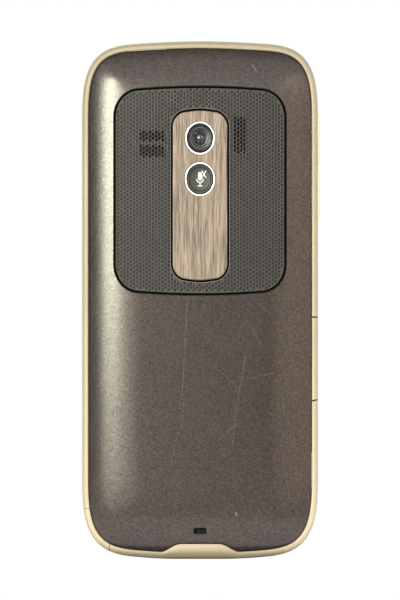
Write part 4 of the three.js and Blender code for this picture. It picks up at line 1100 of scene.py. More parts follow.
class KeyCaps(Growth):
    """Stands one rounded key cap on each point, its crown towards +Y."""

    def __init__(self) -> None:
        """Builds the tree: a filleted rectangle, filled, raised and drawn in step by step."""
        sizes = {"Width": 5.1, "Length": 7.5, "Corner": 0.9, "Height": 1.2, "Round": 0.35, "Dish": 0.12}
        super().__init__("key_caps", sizes)
        graph, entry = self.graph, self.entry
        metres = {label: graph.math("MULTIPLY", entry[label], MM) for label in sizes}
        shape = graph.put(
            "GeometryNodeCurvePrimitiveQuadrilateral", {0: metres["Width"], 1: metres["Length"]}
        ).outputs[0]
        fillet = graph.put("GeometryNodeFilletCurve", mode="POLY")
        for label, value in (("Curve", shape), ("Count", 5), ("Radius", metres["Corner"])):
            graph.wire(fillet.inputs[label], value)
        cap = graph.put("GeometryNodeFillCurve", {"Curve": fillet.outputs[0]}, mode="NGONS").outputs[0]
        cap = graph.put("GeometryNodeFlipFaces", {"Mesh": cap}).outputs[0]
        cap, top = self.raised(cap, None, graph.math("SUBTRACT", metres["Height"], metres["Round"]), 1.0)
        steps = 4
        for turn in range(steps):
            near, far = turn * QUARTER / steps, (turn + 1) * QUARTER / steps
            rise = graph.math("MULTIPLY", metres["Round"], sin(far) - sin(near))
            draw = graph.math("MULTIPLY", entry["Round"], (cos(near) - cos(far)) * 2)
            share = graph.math("SUBTRACT", 1.0, graph.math("DIVIDE", draw, entry["Width"]))
            cap, top = self.raised(cap, top, rise, share)
        cap, top = self.raised(cap, top, 0.0, 0.8)
        cap, top = self.raised(cap, top, graph.math("MULTIPLY", metres["Dish"], -0.75), 0.7)
        cap, top = self.raised(cap, top, graph.math("MULTIPLY", metres["Dish"], -0.25), 0.6)
        turned = graph.put(
            "GeometryNodeTransform", {"Geometry": cap, "Rotation": (-QUARTER, 0.0, 0.0)}
        ).outputs[0]
        inputs = {"Points": entry["Geometry"], "Instance": turned}
        self.close(graph.put("GeometryNodeInstanceOnPoints", inputs).outputs[0])

    def raised(
        self, cap: Socket, top: object, rise: object, share: object
    ) -> tuple[Socket, Socket]:
        """Raises the cap's top face and draws it in.

        Args:
            cap: The mesh so far.
            top: Its top face, or None for all of it.
            rise: How far it goes up.
            share: What is left of its size.

        Returns:
            The mesh and its new top face.
        """
        up = self.graph.put("ShaderNodeCombineXYZ", {"Z": rise}).outputs[0]
        extrude = self.graph.put("GeometryNodeExtrudeMesh", mode="FACES")
        for label, value in (("Mesh", cap), ("Offset", up), ("Offset Scale", 1.0)):
            self.graph.wire(extrude.inputs[label], value)
        self.graph.wire(extrude.inputs["Individual"], False)
        if top is not None:
            self.graph.wire(extrude.inputs["Selection"], top)
        inputs = {"Geometry": extrude.outputs["Mesh"], "Selection": extrude.outputs["Top"], "Scale": share}
        scaled = self.graph.put("GeometryNodeScaleElements", inputs, domain="FACE")
        return scaled.outputs[0], extrude.outputs["Top"]


class Bead(Growth):
    """Sweeps a fine round bead along the edges of a closed loop."""

    def __init__(self) -> None:
        """Builds the tree: Mesh to Curve, then Curve to Mesh with a circle."""
        super().__init__("bead", {"Radius": 0.12})
        graph, entry = self.graph, self.entry
        path = graph.put("GeometryNodeMeshToCurve", {"Mesh": entry["Geometry"]}).outputs[0]
        radius = graph.math("MULTIPLY", entry["Radius"], MM)
        circle = graph.put("GeometryNodeCurvePrimitiveCircle", {"Resolution": 8, "Radius": radius}).outputs[0]
        self.close(graph.put("GeometryNodeCurveToMesh", {"Curve": path, "Profile Curve": circle}).outputs[0])

    def along(self, points: np.ndarray, finish: Finish, radius: float) -> Mesh:
        """Makes a bead along a closed loop of points.

        Args:
            points: The loop, in millimetres.
            finish: Its finish.
            radius: Radius of the bead.

        Returns:
            The bead's mesh.
        """
        path = bpy.data.meshes.new("bead_path")
        count = len(points)
        path.from_pydata((points * MM).tolist(), [(i, (i + 1) % count) for i in range(count)], [])
        made = self.run(path, finish, Radius=radius)
        mended(made)
        return made


def points_mesh(name: str, points: np.ndarray, **values: np.ndarray) -> Mesh:
    """Makes a mesh of loose points that carry numbers.

    Args:
        name: The mesh's name.
        points: Points as X, Y and Z, in millimetres.
        values: A number for each point, by attribute name.

    Returns:
        The mesh.
    """
    made = bpy.data.meshes.new(name)
    made.from_pydata((points * MM).tolist(), [], [])
    carry(made, **values)
    return made


def carry(mesh: Mesh, **values: np.ndarray) -> None:
    """Gives each point of a mesh a number under each name."""
    for label, numbers in values.items():
        attribute = mesh.attributes.new(label, "FLOAT", "POINT")
        attribute.data.foreach_set("value", np.asarray(numbers, np.float32))


# The phone's outline


@dataclass
class Outline:
    """The phone's outline seen from the back, drawn in by any inset."""

    half_width: float
    half_length: float
    corner_width: float = 14.9
    corner_height: float = 17.8
    corner_power: float = 3.4
    top_bow: float = 1.54
    bottom_bow: float = 1.93
    bow_power: float = 1.65
    stand_half: float = 6.5
    deepest: float = 6.5
    step: float = 2.4
    chin_step: float = 0.8
    chin_half: float = 12.0
    turn: float = pi / 80
    points: np.ndarray = field(init=False)
    normals: np.ndarray = field(init=False)

    def __post_init__(self) -> None:
        """Spreads stations round the outline, closer together where it turns and at the chin."""
        dense = self.dense()
        along = np.gradient(dense, axis=0)
        along /= np.linalg.norm(along, axis=1, keepdims=True)
        outward = np.stack([-along[:, 1], along[:, 0]], 1)
        length = np.linalg.norm(np.diff(dense, axis=0), axis=1)
        angle = np.unwrap(np.arctan2(outward[:, 1], outward[:, 0]))
        middle = (dense[1:] + dense[:-1]) / 2
        at_chin = (middle[:, 1] < self.half_length / 2) & (middle[:, 0] < self.chin_half)
        step = np.where(at_chin, self.chin_step, self.step)
        spent = np.concatenate([[0], np.cumsum(length / step + np.abs(np.diff(angle)) / self.turn)])
        places = np.linspace(0, spent[-1], int(ceil(spent[-1])) + 1)
        half = np.stack([np.interp(places, spent, dense[:, i]) for i in (0, 1)], 1)
        turned = np.interp(places, spent, angle)
        turned[0], turned[-1] = QUARTER, -QUARTER
        normals = np.stack([np.cos(turned), np.sin(turned)], 1)
        mirror = np.array([-1.0, 1.0])
        self.points = np.concatenate([half, half[-2:0:-1] * mirror])
        self.normals = np.concatenate([normals, normals[-2:0:-1] * mirror])

    def bow(self, x: np.ndarray, bow: float, flat: float) -> np.ndarray:
        """How far a bowed end has dropped at a distance from the middle."""
        return bow * (np.maximum(0, x - flat) / (self.half_width - flat)) ** self.bow_power

    def dense(self, steps: int = 900) -> np.ndarray:
        """Closely spaced points of the right half, from the top to the bottom."""
        share = np.arange(steps) / steps
        flat = self.half_width - self.corner_width
        angle = (1 - share) * QUARTER
        power = 2 / self.corner_power
        across = np.concatenate([flat * share, flat + self.corner_width * np.cos(angle) ** power])
        drop = np.concatenate([0 * share, self.corner_height * (1 - np.sin(angle) ** power)])
        length = 2 * self.half_length
        top = np.stack([across, length - drop - self.bow(across, self.top_bow, 0)], 1)
        bottom = np.stack([across, drop + self.bow(across, self.bottom_bow, self.stand_half)], 1)
        high = length - self.corner_height - self.top_bow
        low = self.corner_height + self.bottom_bow
        side = np.stack([np.full(steps, self.half_width), high + (low - high) * share], 1)
        return np.concatenate([top, side, bottom[::-1]])

    def at(self, inset: float | np.ndarray) -> np.ndarray:
        """Draws the outline in.

        Args:
            inset: How far, for all stations or for each.

        Returns:
            Its points as X and Z, clockwise.
        """
        inset = np.broadcast_to(np.asarray(inset, float), len(self.points))
        offset = np.minimum(inset, self.deepest)
        moved = self.points - self.normals * offset[:, None]
        x = moved[:, 0] * (self.half_width - inset) / (self.half_width - offset)
        share = (self.half_length - inset) / (self.half_length - offset)
        return np.stack([x, self.half_length + (moved[:, 1] - self.half_length) * share], 1)

    def ring(self, inset: float | np.ndarray, level: float | np.ndarray) -> np.ndarray:
        """Stands the drawn-in outline up at a level along Y."""
        return at_level(self.at(inset), level)

    def slab(self, inset: float, back: float, front: float) -> Shell:
        """Makes a slab of the drawn-in outline."""
        return Shell().loft([self.ring(inset, back), self.ring(inset, front)])


@dataclass(frozen=True)
class Window:
    """Upright panel with bowed ends and round corners."""

    half: float
    low: float
    high: float
    corner: float
    bow: float
    corner_edges: int = 12
    bow_edges: int = 8

    def outline(self, margin: float = 0.0) -> np.ndarray:
        """Makes its outline, grown by a margin, as X and Z, anticlockwise."""
        turn, flat = self.corner + margin, self.half - self.corner
        along = flat * np.arange(self.bow_edges) / self.bow_edges
        quarter = [(x, self.bow * (x / self.half) ** 2 - margin) for x in along]
        rise = self.bow * (flat / self.half) ** 2 + self.corner
        angles = quarter_turn(self.corner_edges)
        quarter += [(flat + turn * sin(a), rise - turn * cos(a)) for a in angles]
        across, drop = np.array(quarter).T
        lower, upper = np.stack([across, self.low + drop], 1), np.stack([across, self.high - drop], 1)
        right = np.concatenate([lower, upper[::-1]])
        return np.concatenate([right, right[-2:0:-1] * np.array([-1.0, 1.0])])


# Rear half


@dataclass
class RearShell:
    """Side wall of the rear half, with its chin, the stylus cap and the card door."""

    outline: Outline
    wall: float = 1.5
    seam: float = 0.15
    round_depth: float = 3.2
    round_power: float = 0.5
    lip_back: float = -6.995
    lip: float = 0.11
    chamfer: float = 0.35
    chin_top: float = 3.36
    chin_half: float = 4.75
    chin_shoulder: float = 5.6
    chin_proud: float = 0.3
    chin_depth: float = 1.1
    cap_right: float = -22.8
    cap_top: float = 11.2
    door_low: float = 35.85
    door_high: float = 54.0
    door_gap: float = 0.33
    door_slant: float = 0.28
    door_front: float = -0.9
    rocker_depth: float = 3.3
    power_depth: float = 2.6
    power_hook: float = 0.6
    socket_front: float = 4.5
    plug_inset: float = 0.75
    plug_back: float = -5.3
    plug_front: float = -1.1
    plug_gap: float = 0.1
    foot_holes: tuple[tuple[float, float, float, float, int], ...] = (
        (9.5, SIDE_LEVEL, 0.4, 4.5, 20),
        (2.3, -4.9, 0.32, 2.6, 16),
        (4.1, -4.9, 0.32, 2.6, 16),
    )

    def reach(self) -> np.ndarray:
        """Width of the wall at each station, wider at the chin."""
        points, normals = self.outline.points, self.outline.normals
        share = np.clip((np.abs(points[:, 0]) - self.chin_half) / self.chin_shoulder, 0, 1)
        fall = (1 - np.cos(pi * share)) / 2
        top = self.chin_top + (self.wall - self.chin_top) * fall
        chin = (points[:, 1] < self.outline.half_length) & (share < 1)
        wide = (top - points[:, 1]) / np.abs(normals[:, 1]).clip(0.5)
        return np.where(chin, np.maximum(self.wall, wide), self.wall)

    def ring(self) -> Mesh:
        """Makes the whole wall before anything is cut from it."""
        outline, reach = self.outline, self.reach()
        rim = extent("base_frame")[1][1]
        proud = self.chin_proud * (reach - self.wall) / (reach.max() - self.wall)
        back = self.lip_back - proud
        rings = [outline.ring(reach, back + self.lip), outline.ring(reach - 0.04, back + 0.04)]
        inner = reach - self.lip
        for angle in quarter_turn(14):
            level = back + (self.round_depth + proud) * (1 - max(cos(angle), 0) ** self.round_power)
            rings.append(outline.ring(inner * (1 - sin(angle) ** self.round_power), level))
        rings += [
            outline.ring(0, rim - self.chamfer),
            outline.ring(self.chamfer * 0.3, rim - self.chamfer * 0.3),
            outline.ring(self.chamfer, rim),
            outline.ring(self.wall, rim),
            outline.ring(self.wall, back + self.chin_depth),
            outline.ring(reach, back + self.chin_depth),
        ]
        return Shell().loft(rings, looped=True).mesh("frame_wall")

    def cap_region(self, margin: float) -> Shell:
        """Corner that comes away with the stylus, grown by a margin."""
        low = (-self.outline.half_width - BEYOND, CUT_BACK, -BEYOND)
        return Shell().box(low, (self.cap_right + margin, -CUT_BACK, self.cap_top + margin))

    def door_region(self, margin: float, front: float) -> Shell:
        """Stretch of the side wall that the card door takes, grown by a margin."""
        half = self.outline.half_width
        outer, inner = half + BEYOND, half - self.wall - self.seam
        slope = self.door_slant / self.wall
        corners = (
            (inner, self.door_low - slope * (half - inner) - margin),
            (outer, self.door_low + slope * BEYOND - margin),
            (outer, self.door_high + margin),
            (inner, self.door_high + margin),
        )
        return Shell().prism(np.array(corners), CUT_BACK, front)

    def side_opening(self, low: np.ndarray, high: np.ndarray, depth: float) -> Shell:
        """Cutter round a control between two corners, as deep as given about the controls' level."""
        low[1], high[1] = SIDE_LEVEL - depth / 2, SIDE_LEVEL + depth / 2
        return Shell().box(low - self.seam, high + self.seam, 0.2)

    def openings(self) -> list[Shell]:
        """Cutters for the rocker, the power button, the socket and the small holes in the foot."""
        low, high = extent("volume_rocker")
        high[0] = self.outline.half_width + BEYOND
        made = [self.side_opening(low, high, self.rocker_depth)]
        low, high = extent("power_button")
        low[0], high[0], high[2] = low[0] + self.power_hook, high[0] - self.power_hook, high[2] + BEYOND
        made.append(self.side_opening(low, high, self.power_depth))
        low, high = extent("usb_socket")
        mouth = (*(low[:2] - self.seam), -BEYOND), (*(high[:2] + self.seam), self.socket_front)
        made.append(Shell().box(*mouth, 0.3))
        for x, y, radius, depth, sides in self.foot_holes:
            made.append(Shell().rod([(radius, -BEYOND), (radius, depth)], x, y, sides))
        return made

    def build(self) -> None:
        """Builds the frame, the stylus cap and the card door."""
        whole = self.ring()
        cuts = [self.cap_region(self.seam), self.door_region(self.door_gap, self.door_front + self.seam)]
        piece("frame_shell", carved(whole, cuts + self.openings()), FRAME_PAINT, Body.BASE, ["base_frame"])
        cap = carved(whole, [self.cap_region(0)], keep_inside=True)
        piece("stylus_cap_shell", cap, FRAME_PAINT, Body.STYLUS)
        front = min(extent("stylus_cap")[1][1], self.plug_front)
        core = self.outline.slab(self.plug_inset, self.plug_back, front).mesh("stylus_plug")
        plug = carved(core, [self.cap_region(-self.plug_gap)], keep_inside=True)
        piece("stylus_cap_plug", plug, STYLUS, Body.STYLUS, ["stylus_cap"])
        door = carved(whole, [self.door_region(0, self.door_front)], keep_inside=True)
        piece("card_door_shell", door, FRAME_PAINT, Body.DOOR, ["card_door"])


@dataclass
class BatteryCover:
    """Crowned cover over the back, cut out for the speaker panel and the strap."""

    outline: Outline
    shell: RearShell
    window: Window
    crown: float = 1.75
    reach: float = 14.0
    power: float = 2.6
    thickness: float = 0.8
    rim_depth: float = 2.7
    rim_reveal: float = 0.08
    chamfer: float = 0.22
    rounding: float = 0.16
    strap: Triple = (6.25, 3.4, 1.46)
    strap_lip: tuple[Pair, ...] = ((0.3, -8.95), (0.22, -8.6), (0.0, -8.3), (0.0, -5.0))
    under_level: float = -4.0

    def level(self, inset: np.ndarray) -> np.ndarray:
        """Level of the outer skin, as far in from the outline."""
        share = (inset - self.shell.wall - self.shell.seam) / self.reach
        return extent("battery_cover")[0][1] + self.crown * np.maximum(1 - share, 0) ** self.power

    def skin(self) -> Mesh:
        """Makes the closed skin flat and lets the crown rule give it its form."""
        edge = self.shell.wall + self.shell.seam
        outer, middle = self.shell.reach() + self.shell.seam, edge + self.reach
        back = extent("battery_cover")[0][1]
        shares = np.linspace(0, 1, 20) ** 1.25
        # Each ring has its inset, its rise above the crown, whether it keeps its level, and that level
        near = outer + self.rounding
        plan = [(near + (middle - near) * share, 0.0, 0.0, 0.0) for share in shares[::-1]]
        for angle in quarter_turn(4)[1:]:
            inset = outer + self.rounding * (1 - sin(angle))
            plan.append((inset, self.rounding * (1 - cos(angle)), 0.0, 0.0))
        rim = np.minimum(back + self.rim_depth, self.level(outer) + self.thickness + self.rim_reveal)
        plan += [(inset, 0.0, 1.0, rim) for inset in (outer, outer + self.thickness)]
        under = outer + self.thickness * 0.9
        plan += [(under + (middle - under) * share, self.thickness, 0.0, 0.0) for share in shares[::3]]
        shell = Shell().loft([self.outline.ring(inset, level) for inset, _, _, level in plan])
        mesh = bpy.data.meshes.new("cover_skin")
        mesh.from_pydata((np.concatenate(shell.points) * MM).tolist(), [], shell.faces)
        insets = np.concatenate([row[0] for row in plan])
        rises, fixed = (np.repeat([row[i] for row in plan], len(outer)) for i in (1, 2))
        carry(mesh, inset=insets, rise=rises, fixed=fixed)
        sizes = {"Edge": edge, "Reach": self.reach, "Crown": self.crown, "Power": self.power}
        made = CrownRule().run(mesh, COVER_PAINT, **sizes, Back=float(back))
        mended(made)
        return made

    def window_cutter(self) -> Shell:
        """Cutter of the panel's window, with a chamfer that follows the crown."""
        seam, chamfer = self.shell.seam, self.chamfer
        plain = self.window.outline(seam)
        surface = self.level(nearest(plain, self.outline.at(0))[1])
        rings = [
            at_level(self.window.outline(seam + chamfer * 3), surface - chamfer * 2),
            at_level(self.window.outline(seam + chamfer), surface),
            at_level(plain, surface + chamfer),
            at_level(plain, self.under_level),
        ]
        return Shell().loft(rings)

    def build(self) -> None:
        """Builds the cover with its strap slot."""
        height, width, slot = self.strap
        outline = rounded_rect(-width / 2, width / 2, height - slot / 2, height + slot / 2, slot / 2 - 0.01)
        hole = Shell().loft([at_level(grown(outline, margin), level) for margin, level in self.strap_lip])
        cover = carved(self.skin(), [self.window_cutter(), hole])
        piece("battery_cover_skin", cover, COVER_PAINT, Body.COVER, ["battery_cover"])


@dataclass
class SpeakerPanel:
    """Dark panel round the camera strip, dimpled all over and pierced over the loudspeakers."""

    window: Window
    strip: Window
    gap: float = 0.34
    strip_gap: float = 0.46
    pitch_x: float = 0.79
    pitch_z: float = 0.905
    left: float = -14.9
    low: float = 90.6
    rim: float = 0.33
    floor: float = 0.21
    depth: float = 0.16
    pierced: float = 0.75
    border: float = 0.36
    thickness: float = 1.1
    plate_drop: float = 0.9
    plate_thickness: float = 0.4
    # How far the near-black bands that paint the gaps' shade lie behind the face, and how far they reach past
    # the panel's window
    gap_shade_drop: float = 0.7
    gap_shade_margin: float = 0.1
    overlap: float = 0.02
    lip_gap: float = 0.05
    lip_drop: float = 0.03
    lip_radius: float = 0.08
    # Depth below the face at which the painted shade of the dimples and holes is full
    shade_full_depth: float = 0.2

    def holes(self) -> set[tuple[int, int]]:
        """Column and row of every sound hole."""
        upper = {(c, r) for c in range(8) for r in ((0, 1, 2, 4, 5, 6) if c % 2 else (0, 1, 2, 4, 5))}
        return upper | {(c, r) for c in range(30, 34) for r in range(1, 10)}

    def cell(self) -> Mesh:
        """Makes one hexagonal cell with a round dimple one unit deep."""
        sides = 12
        corner = self.pitch_z / sqrt(3)
        hexagon = [corner * np.array([cos(angle), sin(angle)]) for angle in np.arange(6) * pi / 3]
        outer = [p for i in range(6) for p in (hexagon[i], (hexagon[i] + hexagon[(i + 1) % 6]) / 2)]
        shapes = ((np.array(outer), 0), (circle(sides) * self.rim, 0.06), (circle(sides) * self.floor, 1.0))
        faces = []
        for level in (0, sides):
            for i in range(sides):
                after = (i + 1) % sides
                faces.append((level + i, level + after, level + sides + after, level + sides + i))
        faces.append(tuple(range(2 * sides, 3 * sides)))
        mesh = bpy.data.meshes.new("dimple_cell")
        points = np.concatenate([at_level(shape, level) for shape, level in shapes])
        mesh.from_pydata((points * MM).tolist(), [], faces)
        return mesh

    def points(self, outer: np.ndarray, inner: np.ndarray, face: float) -> tuple[np.ndarray, np.ndarray]:
        """Places the cells.

        Args:
            outer: Outline of the panel.
            inner: Outline of its opening for the strip.
            face: Level of its face.

        Returns:
            The places, and the depth of each dimple.
        """
        holes = self.holes()
        reach = int(self.window.half / self.pitch_x) + 12
        made, keys = [], []
        for column in range(-reach, 2 * reach):
            for row in range(-60, 30):
                x = self.left + column * self.pitch_x
                z = self.low + (row - (column % 2) / 2) * self.pitch_z
                if abs(x) < self.window.half + 1 and self.window.low - 1 < z < self.window.high + 1:
                    made.append((x, z))
                    keys.append((column, row))
        places = np.array(made)
        inside = np.minimum(nearest(places, outer)[1], -nearest(places, inner)[1])
        keep = inside > -0.5
        plain = np.where(inside > self.border, self.depth, 0.0)
        depths = np.where([key in holes for key in keys], self.pierced, plain)
        return at_level(places[keep], face), depths[keep]

    def build(self, beads: "Bead") -> None:
        """Builds the dimpled face, its plate, the lip round the strip's opening, whose lighter colour is a
        painted highlight, and the two near-black bands sunk in the gaps round the panel and the strip, which
        paint the gaps' shade.
        """
        face = extent("speaker_panel")[0][1]
        outer, inner = self.window.outline(-self.gap), self.strip.outline(self.strip_gap)
        places, depths = self.points(outer, inner, face)
        cell = bpy.data.objects.new("dimple_cell", self.cell())
        mesh = Lattice().run(points_mesh("speaker_panel_face", places, depth=depths), PANEL, Cell=cell)
        bpy.data.objects.remove(cell)
        self.trim(mesh, face, ((outer, 1), (inner, -1)))
        self.close_rim(mesh, face)
        piece("speaker_panel_face", mesh, PANEL, Body.BASE, ["speaker_panel"], sharp=24)
        back = face + self.plate_drop
        plate = Shell().band(outer, inner, back, back + self.plate_thickness)
        plate.stand("speaker_panel_plate", CHASSIS, Body.BASE)
        # Lip round the strip's opening, in a lighter copy of the grille plastic that paints the highlight
        # along it
        path = at_level(self.strip.outline(self.strip_gap + self.lip_gap), face + self.lip_drop)
        piece("strip_opening_lip", beads.along(path, PANEL_EDGE_HIGHLIT, self.lip_radius), PANEL_EDGE_HIGHLIT, Body.BASE)
        # Near-black bands sunk in the gaps round the panel and the strip: painted shade of the gaps
        for name, window, wide, narrow in (
            ("panel_seal", self.window, self.gap_shade_margin, -self.gap - self.overlap),
            ("strip_seal", self.strip, self.strip_gap + self.overlap, self.overlap),
        ):
            shade_band = Shell().band(
                window.outline(wide), window.outline(narrow), face + self.gap_shade_drop, face + self.thickness
            )
            shade_band.stand(name, GAP_SHADE, Body.BASE)

    def trim(self, mesh: Mesh, face: float, limits: Sequence[tuple[np.ndarray, int]]) -> None:
        """Draws what lies past an outline onto it, and notes how deep each point lies, which sets the painted
        shade of the dimples and holes.

        Args:
            mesh: The face.
            face: Level of the face.
            limits: Each outline, with 1 to keep its inside or -1 to keep its outside.
        """
        co = np.zeros(len(mesh.vertices) * 3)
        mesh.vertices.foreach_get("co", co)
        co = co.reshape(-1, 3) / MM
        flat = co[:, [0, 2]]
        for outline, side in limits:
            close, room = nearest(flat, outline)
            outside = room * side < 0
            flat[outside] = close[outside]
        co[:, 0], co[:, 2] = flat[:, 0], flat[:, 1]
        mesh.vertices.foreach_set("co", (co * MM).ravel())
        # Painted shade: share of full darkness, growing with the depth below the face
        carry(mesh, hollow=np.clip((co[:, 1] - face) / self.shade_full_depth, 0, 1) ** 2)

    def close_rim(self, mesh: Mesh, face: float) -> None:
        """Welds the cells and draws the face's edges down to the plate.

        Args:
            mesh: The face.
            face: Level of the face.
        """
        edit = bmesh.new()
        edit.from_mesh(mesh)
        bmesh.ops.remove_doubles(edit, verts=edit.verts, dist=2e-6)
        bmesh.ops.dissolve_degenerate(edit, edges=edit.edges, dist=1e-6)
        edges = [edge for edge in edit.edges if edge.is_boundary]
        made = bmesh.ops.extrude_edge_only(edit, edges=edges)["geom"]
        for vert in (part for part in made if isinstance(part, bmesh.types.BMVert)):
            vert.co.y = (face + self.thickness) * MM
        bmesh.ops.recalc_face_normals(edit, faces=edit.faces)
        edit.to_mesh(mesh)
        edit.free()


@dataclass
class CameraStrip:
    """Brushed strip that carries the camera's ring and the mute button's ring."""

    strip: Window
    camera_height: float
    mute_height: float
    ring_radius: float = 3.75
    mute_radius: float = 3.85
    ring_width: float = 0.46
    ring_gap: float = 0.05
    bevel: float = 0.2

    def build(self) -> None:
        """Builds the strip, both rings, the camera and the mute button."""
        low, high = extent("camera_plate")
        plate = Shell().prism(self.strip.outline(), low[1], high[1], self.bevel).mesh("camera_strip")
        rings = (
            ("camera_ring", self.ring_radius, self.camera_height),
            ("mute_ring", self.mute_radius, self.mute_height),
        )
        holes = [
            Shell().prism(circle(72) * (radius + self.ring_gap) + (0, height), -CUT_FRONT, 0)
            for _, radius, height in rings
        ]
        piece("camera_strip", carved(plate, holes), STRIP, Body.BASE, ["camera_plate"])
        for node, radius, height in rings:
            self.ring(node, radius, height)
        self.camera()
        self.mute()

    def ring(self, node: str, radius: float, height: float) -> None:
        """Builds one bright ring with a rounded crown.

        Args:
            node: Solid that it stands for.
            radius: Its outer radius.
            height: Height of its middle.
        """
        low, high = extent(node)
        half = self.ring_width / 2
        profile = [(radius, high[1])]
        for a in np.linspace(0, pi, 11):
            profile.append((radius - half + half * cos(a), low[1] + half * (1 - sin(a))))
        profile.append((radius - self.ring_width, high[1]))
        Shell().turned(profile, 0, height, 72).stand(f"{node}_turned", CHROME, Body.BASE, node)

    def camera(self) -> None:
        """Builds the camera's window, its stepped barrel with a bright ring, and its domed front lens."""
        low, high = extent("camera_window")
        radius, soft = high[0], 0.1
        glass = [(0, low[1]), (radius - soft, low[1]), (radius, low[1] + soft)]
        glass += [(radius, high[1]), (0, high[1])]
        low, high = extent("camera_lens")
        face, seat, radius = low[1], high[1], high[0]
        # Shares of the barrel's radius, with how far each step lies behind its face
        steps = (
            (1, 0), (0.93, 0.05), (0.88, 0.3), (0.74, 0.36),
            (0.70, 0.6), (0.56, 0.66), (0.50, 0.95), (0, 1.0),
        )
        bright = ((0.83, 0.42), (0.83, 0.30), (0.79, 0.30), (0.79, 0.42))
        barrel = [(radius, seat), *((radius * share, face + drop) for share, drop in steps), (0, seat)]
        sweep, crest, bulge = 1.1, face + 0.95, 0.42
        dome = []
        for a in np.linspace(0, sweep, 9):
            share = (cos(a) - cos(sweep)) / (1 - cos(sweep))
            dome.append((radius * 0.52 * sin(a), crest - bulge * share))
        dome.append((0, face + 0.96))
        for name, profile, sides, finish, nodes in (
            ("camera_glass", glass, 64, CAMERA_GLASS, ["camera_window"]),
            ("camera_barrel", barrel, 64, LENS, ["camera_lens"]),
            ("camera_barrel_ring", [(radius * share, face + drop) for share, drop in bright], 64, TIP, []),
            ("camera_front_lens", dome, 48, LENS_COAT, []),
        ):
            Shell().turned(profile, 0, self.camera_height, sides).stand(name, finish, Body.BASE, *nodes)

    def mute(self) -> None:
        """Builds the mute button with its groove and its crossed-out microphone."""
        low, high = extent("mute_button")
        radius, face, height = high[0], low[1], self.mute_height
        # How far in from the rim each step of the button lies, with its level from the face
        groove = ((0.62, 0.02), (0.5, 0.12), (0.38, 0.02), (0.12, 0.0), (0.0, 0.12))
        profile = [(0, face + 0.1), (radius * 0.6, face + 0.09)]
        profile += [(radius - inset, face + drop) for inset, drop in groove]
        profile += [(radius, high[1]), (0, high[1])]
        cap = Shell().turned(profile, 0, height, 64)
        cap.stand("mute_button_cap", MUTE_BROWN, Body.MUTE, "mute_button")
        back, front = face + 0.02, face + 0.14
        centre = np.array([0, height + 0.15])
        mark = Shell()
        for shape in (
            rounded_rect(-0.5, 0.5, -0.45, 1.45, 0.46),
            arch((0.95, 0.95), (0.72, 0.72), pi, 2 * pi, 13) + (0, -0.1),
            rounded_rect(-0.12, 0.12, -1.62, -0.98, 0.05, 2),
            rounded_rect(-0.6, 0.6, -1.8, -1.56, 0.1, 2),
        ):
            mark.prism(centre + shape, back, front)
        arm = np.array([(-0.62, -0.74), (-0.44, -0.86), (0.62, 0.74), (0.44, 0.86)])
        for turn in (-1, 1):
            mark.prism(centre + arm * (turn, 1.0) + (1.0, 0.95), back - 0.01 * turn, front)
        mark.stand("mute_mark", MARK_GREY, Body.MUTE)


@dataclass
class SideControls:
    """Volume rocker and power button in the side wall."""

    shell: RearShell
    proud: float = 0.35
    notch: float = 0.45
    soft: float = 0.12

    def build(self) -> None:
        """Builds both controls with rounded edges."""
        low, high = extent("volume_rocker")
        inner, outer, bottom, top = low[0], high[0], low[2], high[2]
        middle = (bottom + top) / 2
        proud, notch = self.proud, self.notch
        half = [(inner, bottom), (outer - proud, bottom), (outer - self.soft, bottom + proud)]
        half += [(outer, bottom + 2.4 * proud), (outer, middle - 2.2 * notch)]
        half.append((outer - notch / 2, middle - notch))
        mirrored = [(x, bottom + top - z) for x, z in half[::-1]]
        depth = self.shell.rocker_depth / 2
        rocker = np.array([*half, (outer - notch, middle), *mirrored])
        rocker = Shell().prism(rocker, SIDE_LEVEL - depth, SIDE_LEVEL + depth, 0.3)
        rocker.stand("volume_rocker_cap", POLISHED_HIGHLIT_PAINT, Body.ROCKER, "volume_rocker")
        low, high = extent("power_button")
        depth, hook = self.shell.power_depth / 2, self.shell.power_hook
        region = Shell().box(
            (low[0] + hook, SIDE_LEVEL - depth, low[2] + 0.3),
            (high[0] - hook, SIDE_LEVEL + depth, high[2] + BEYOND), 0.5,
        )
        cap = carved(self.shell.outline.slab(0, -6, 1).mesh("power_button_cap"), [region], keep_inside=True)
        piece("power_button_cap", cap, POLISHED_HIGHLIT_PAINT, Body.POWER, ["power_button"])


@dataclass
class Stylus:
    """Pen that slides out of the corner of the rear half."""

    grooves: int = 6
    groove_start: float = 4.0
    groove_pitch: float = 1.4
    groove_depth: float = 0.16

    def build(self) -> None:
        """Builds its grooved barrel and its soft point."""
        low, high = extent("stylus_barrel")
        x, y = (low[0] + high[0]) / 2, (low[1] + high[1]) / 2
        radius = (high[0] - low[0]) / 2
        waist = radius - self.groove_depth
        profile = [(radius * 0.8, low[2]), (radius, low[2] + 0.3)]
        for step in range(self.grooves):
            z = low[2] + self.groove_start + step * self.groove_pitch
            profile += [(radius, z), (waist, z + 0.2), (waist, z + 0.6), (radius, z + 0.8)]
        profile += [(radius, high[2] - 0.4), (radius * 0.9, high[2])]
        Shell().rod(profile, x, y).stand("stylus_rod", STYLUS, Body.STYLUS, "stylus_barrel")
        low, high = extent("stylus_point")
        profile = [(radius * 0.85, low[2]), (radius * 0.62, low[2] + 1.6), (radius * 0.4, high[2] - 0.9)]
        profile += [(0.33, high[2] - 0.35), (0.2, high[2] - 0.08), (0.05, high[2])]
        Shell().rod(profile, x, y).stand("stylus_tip", TIP, Body.STYLUS, "stylus_point")


# Display half


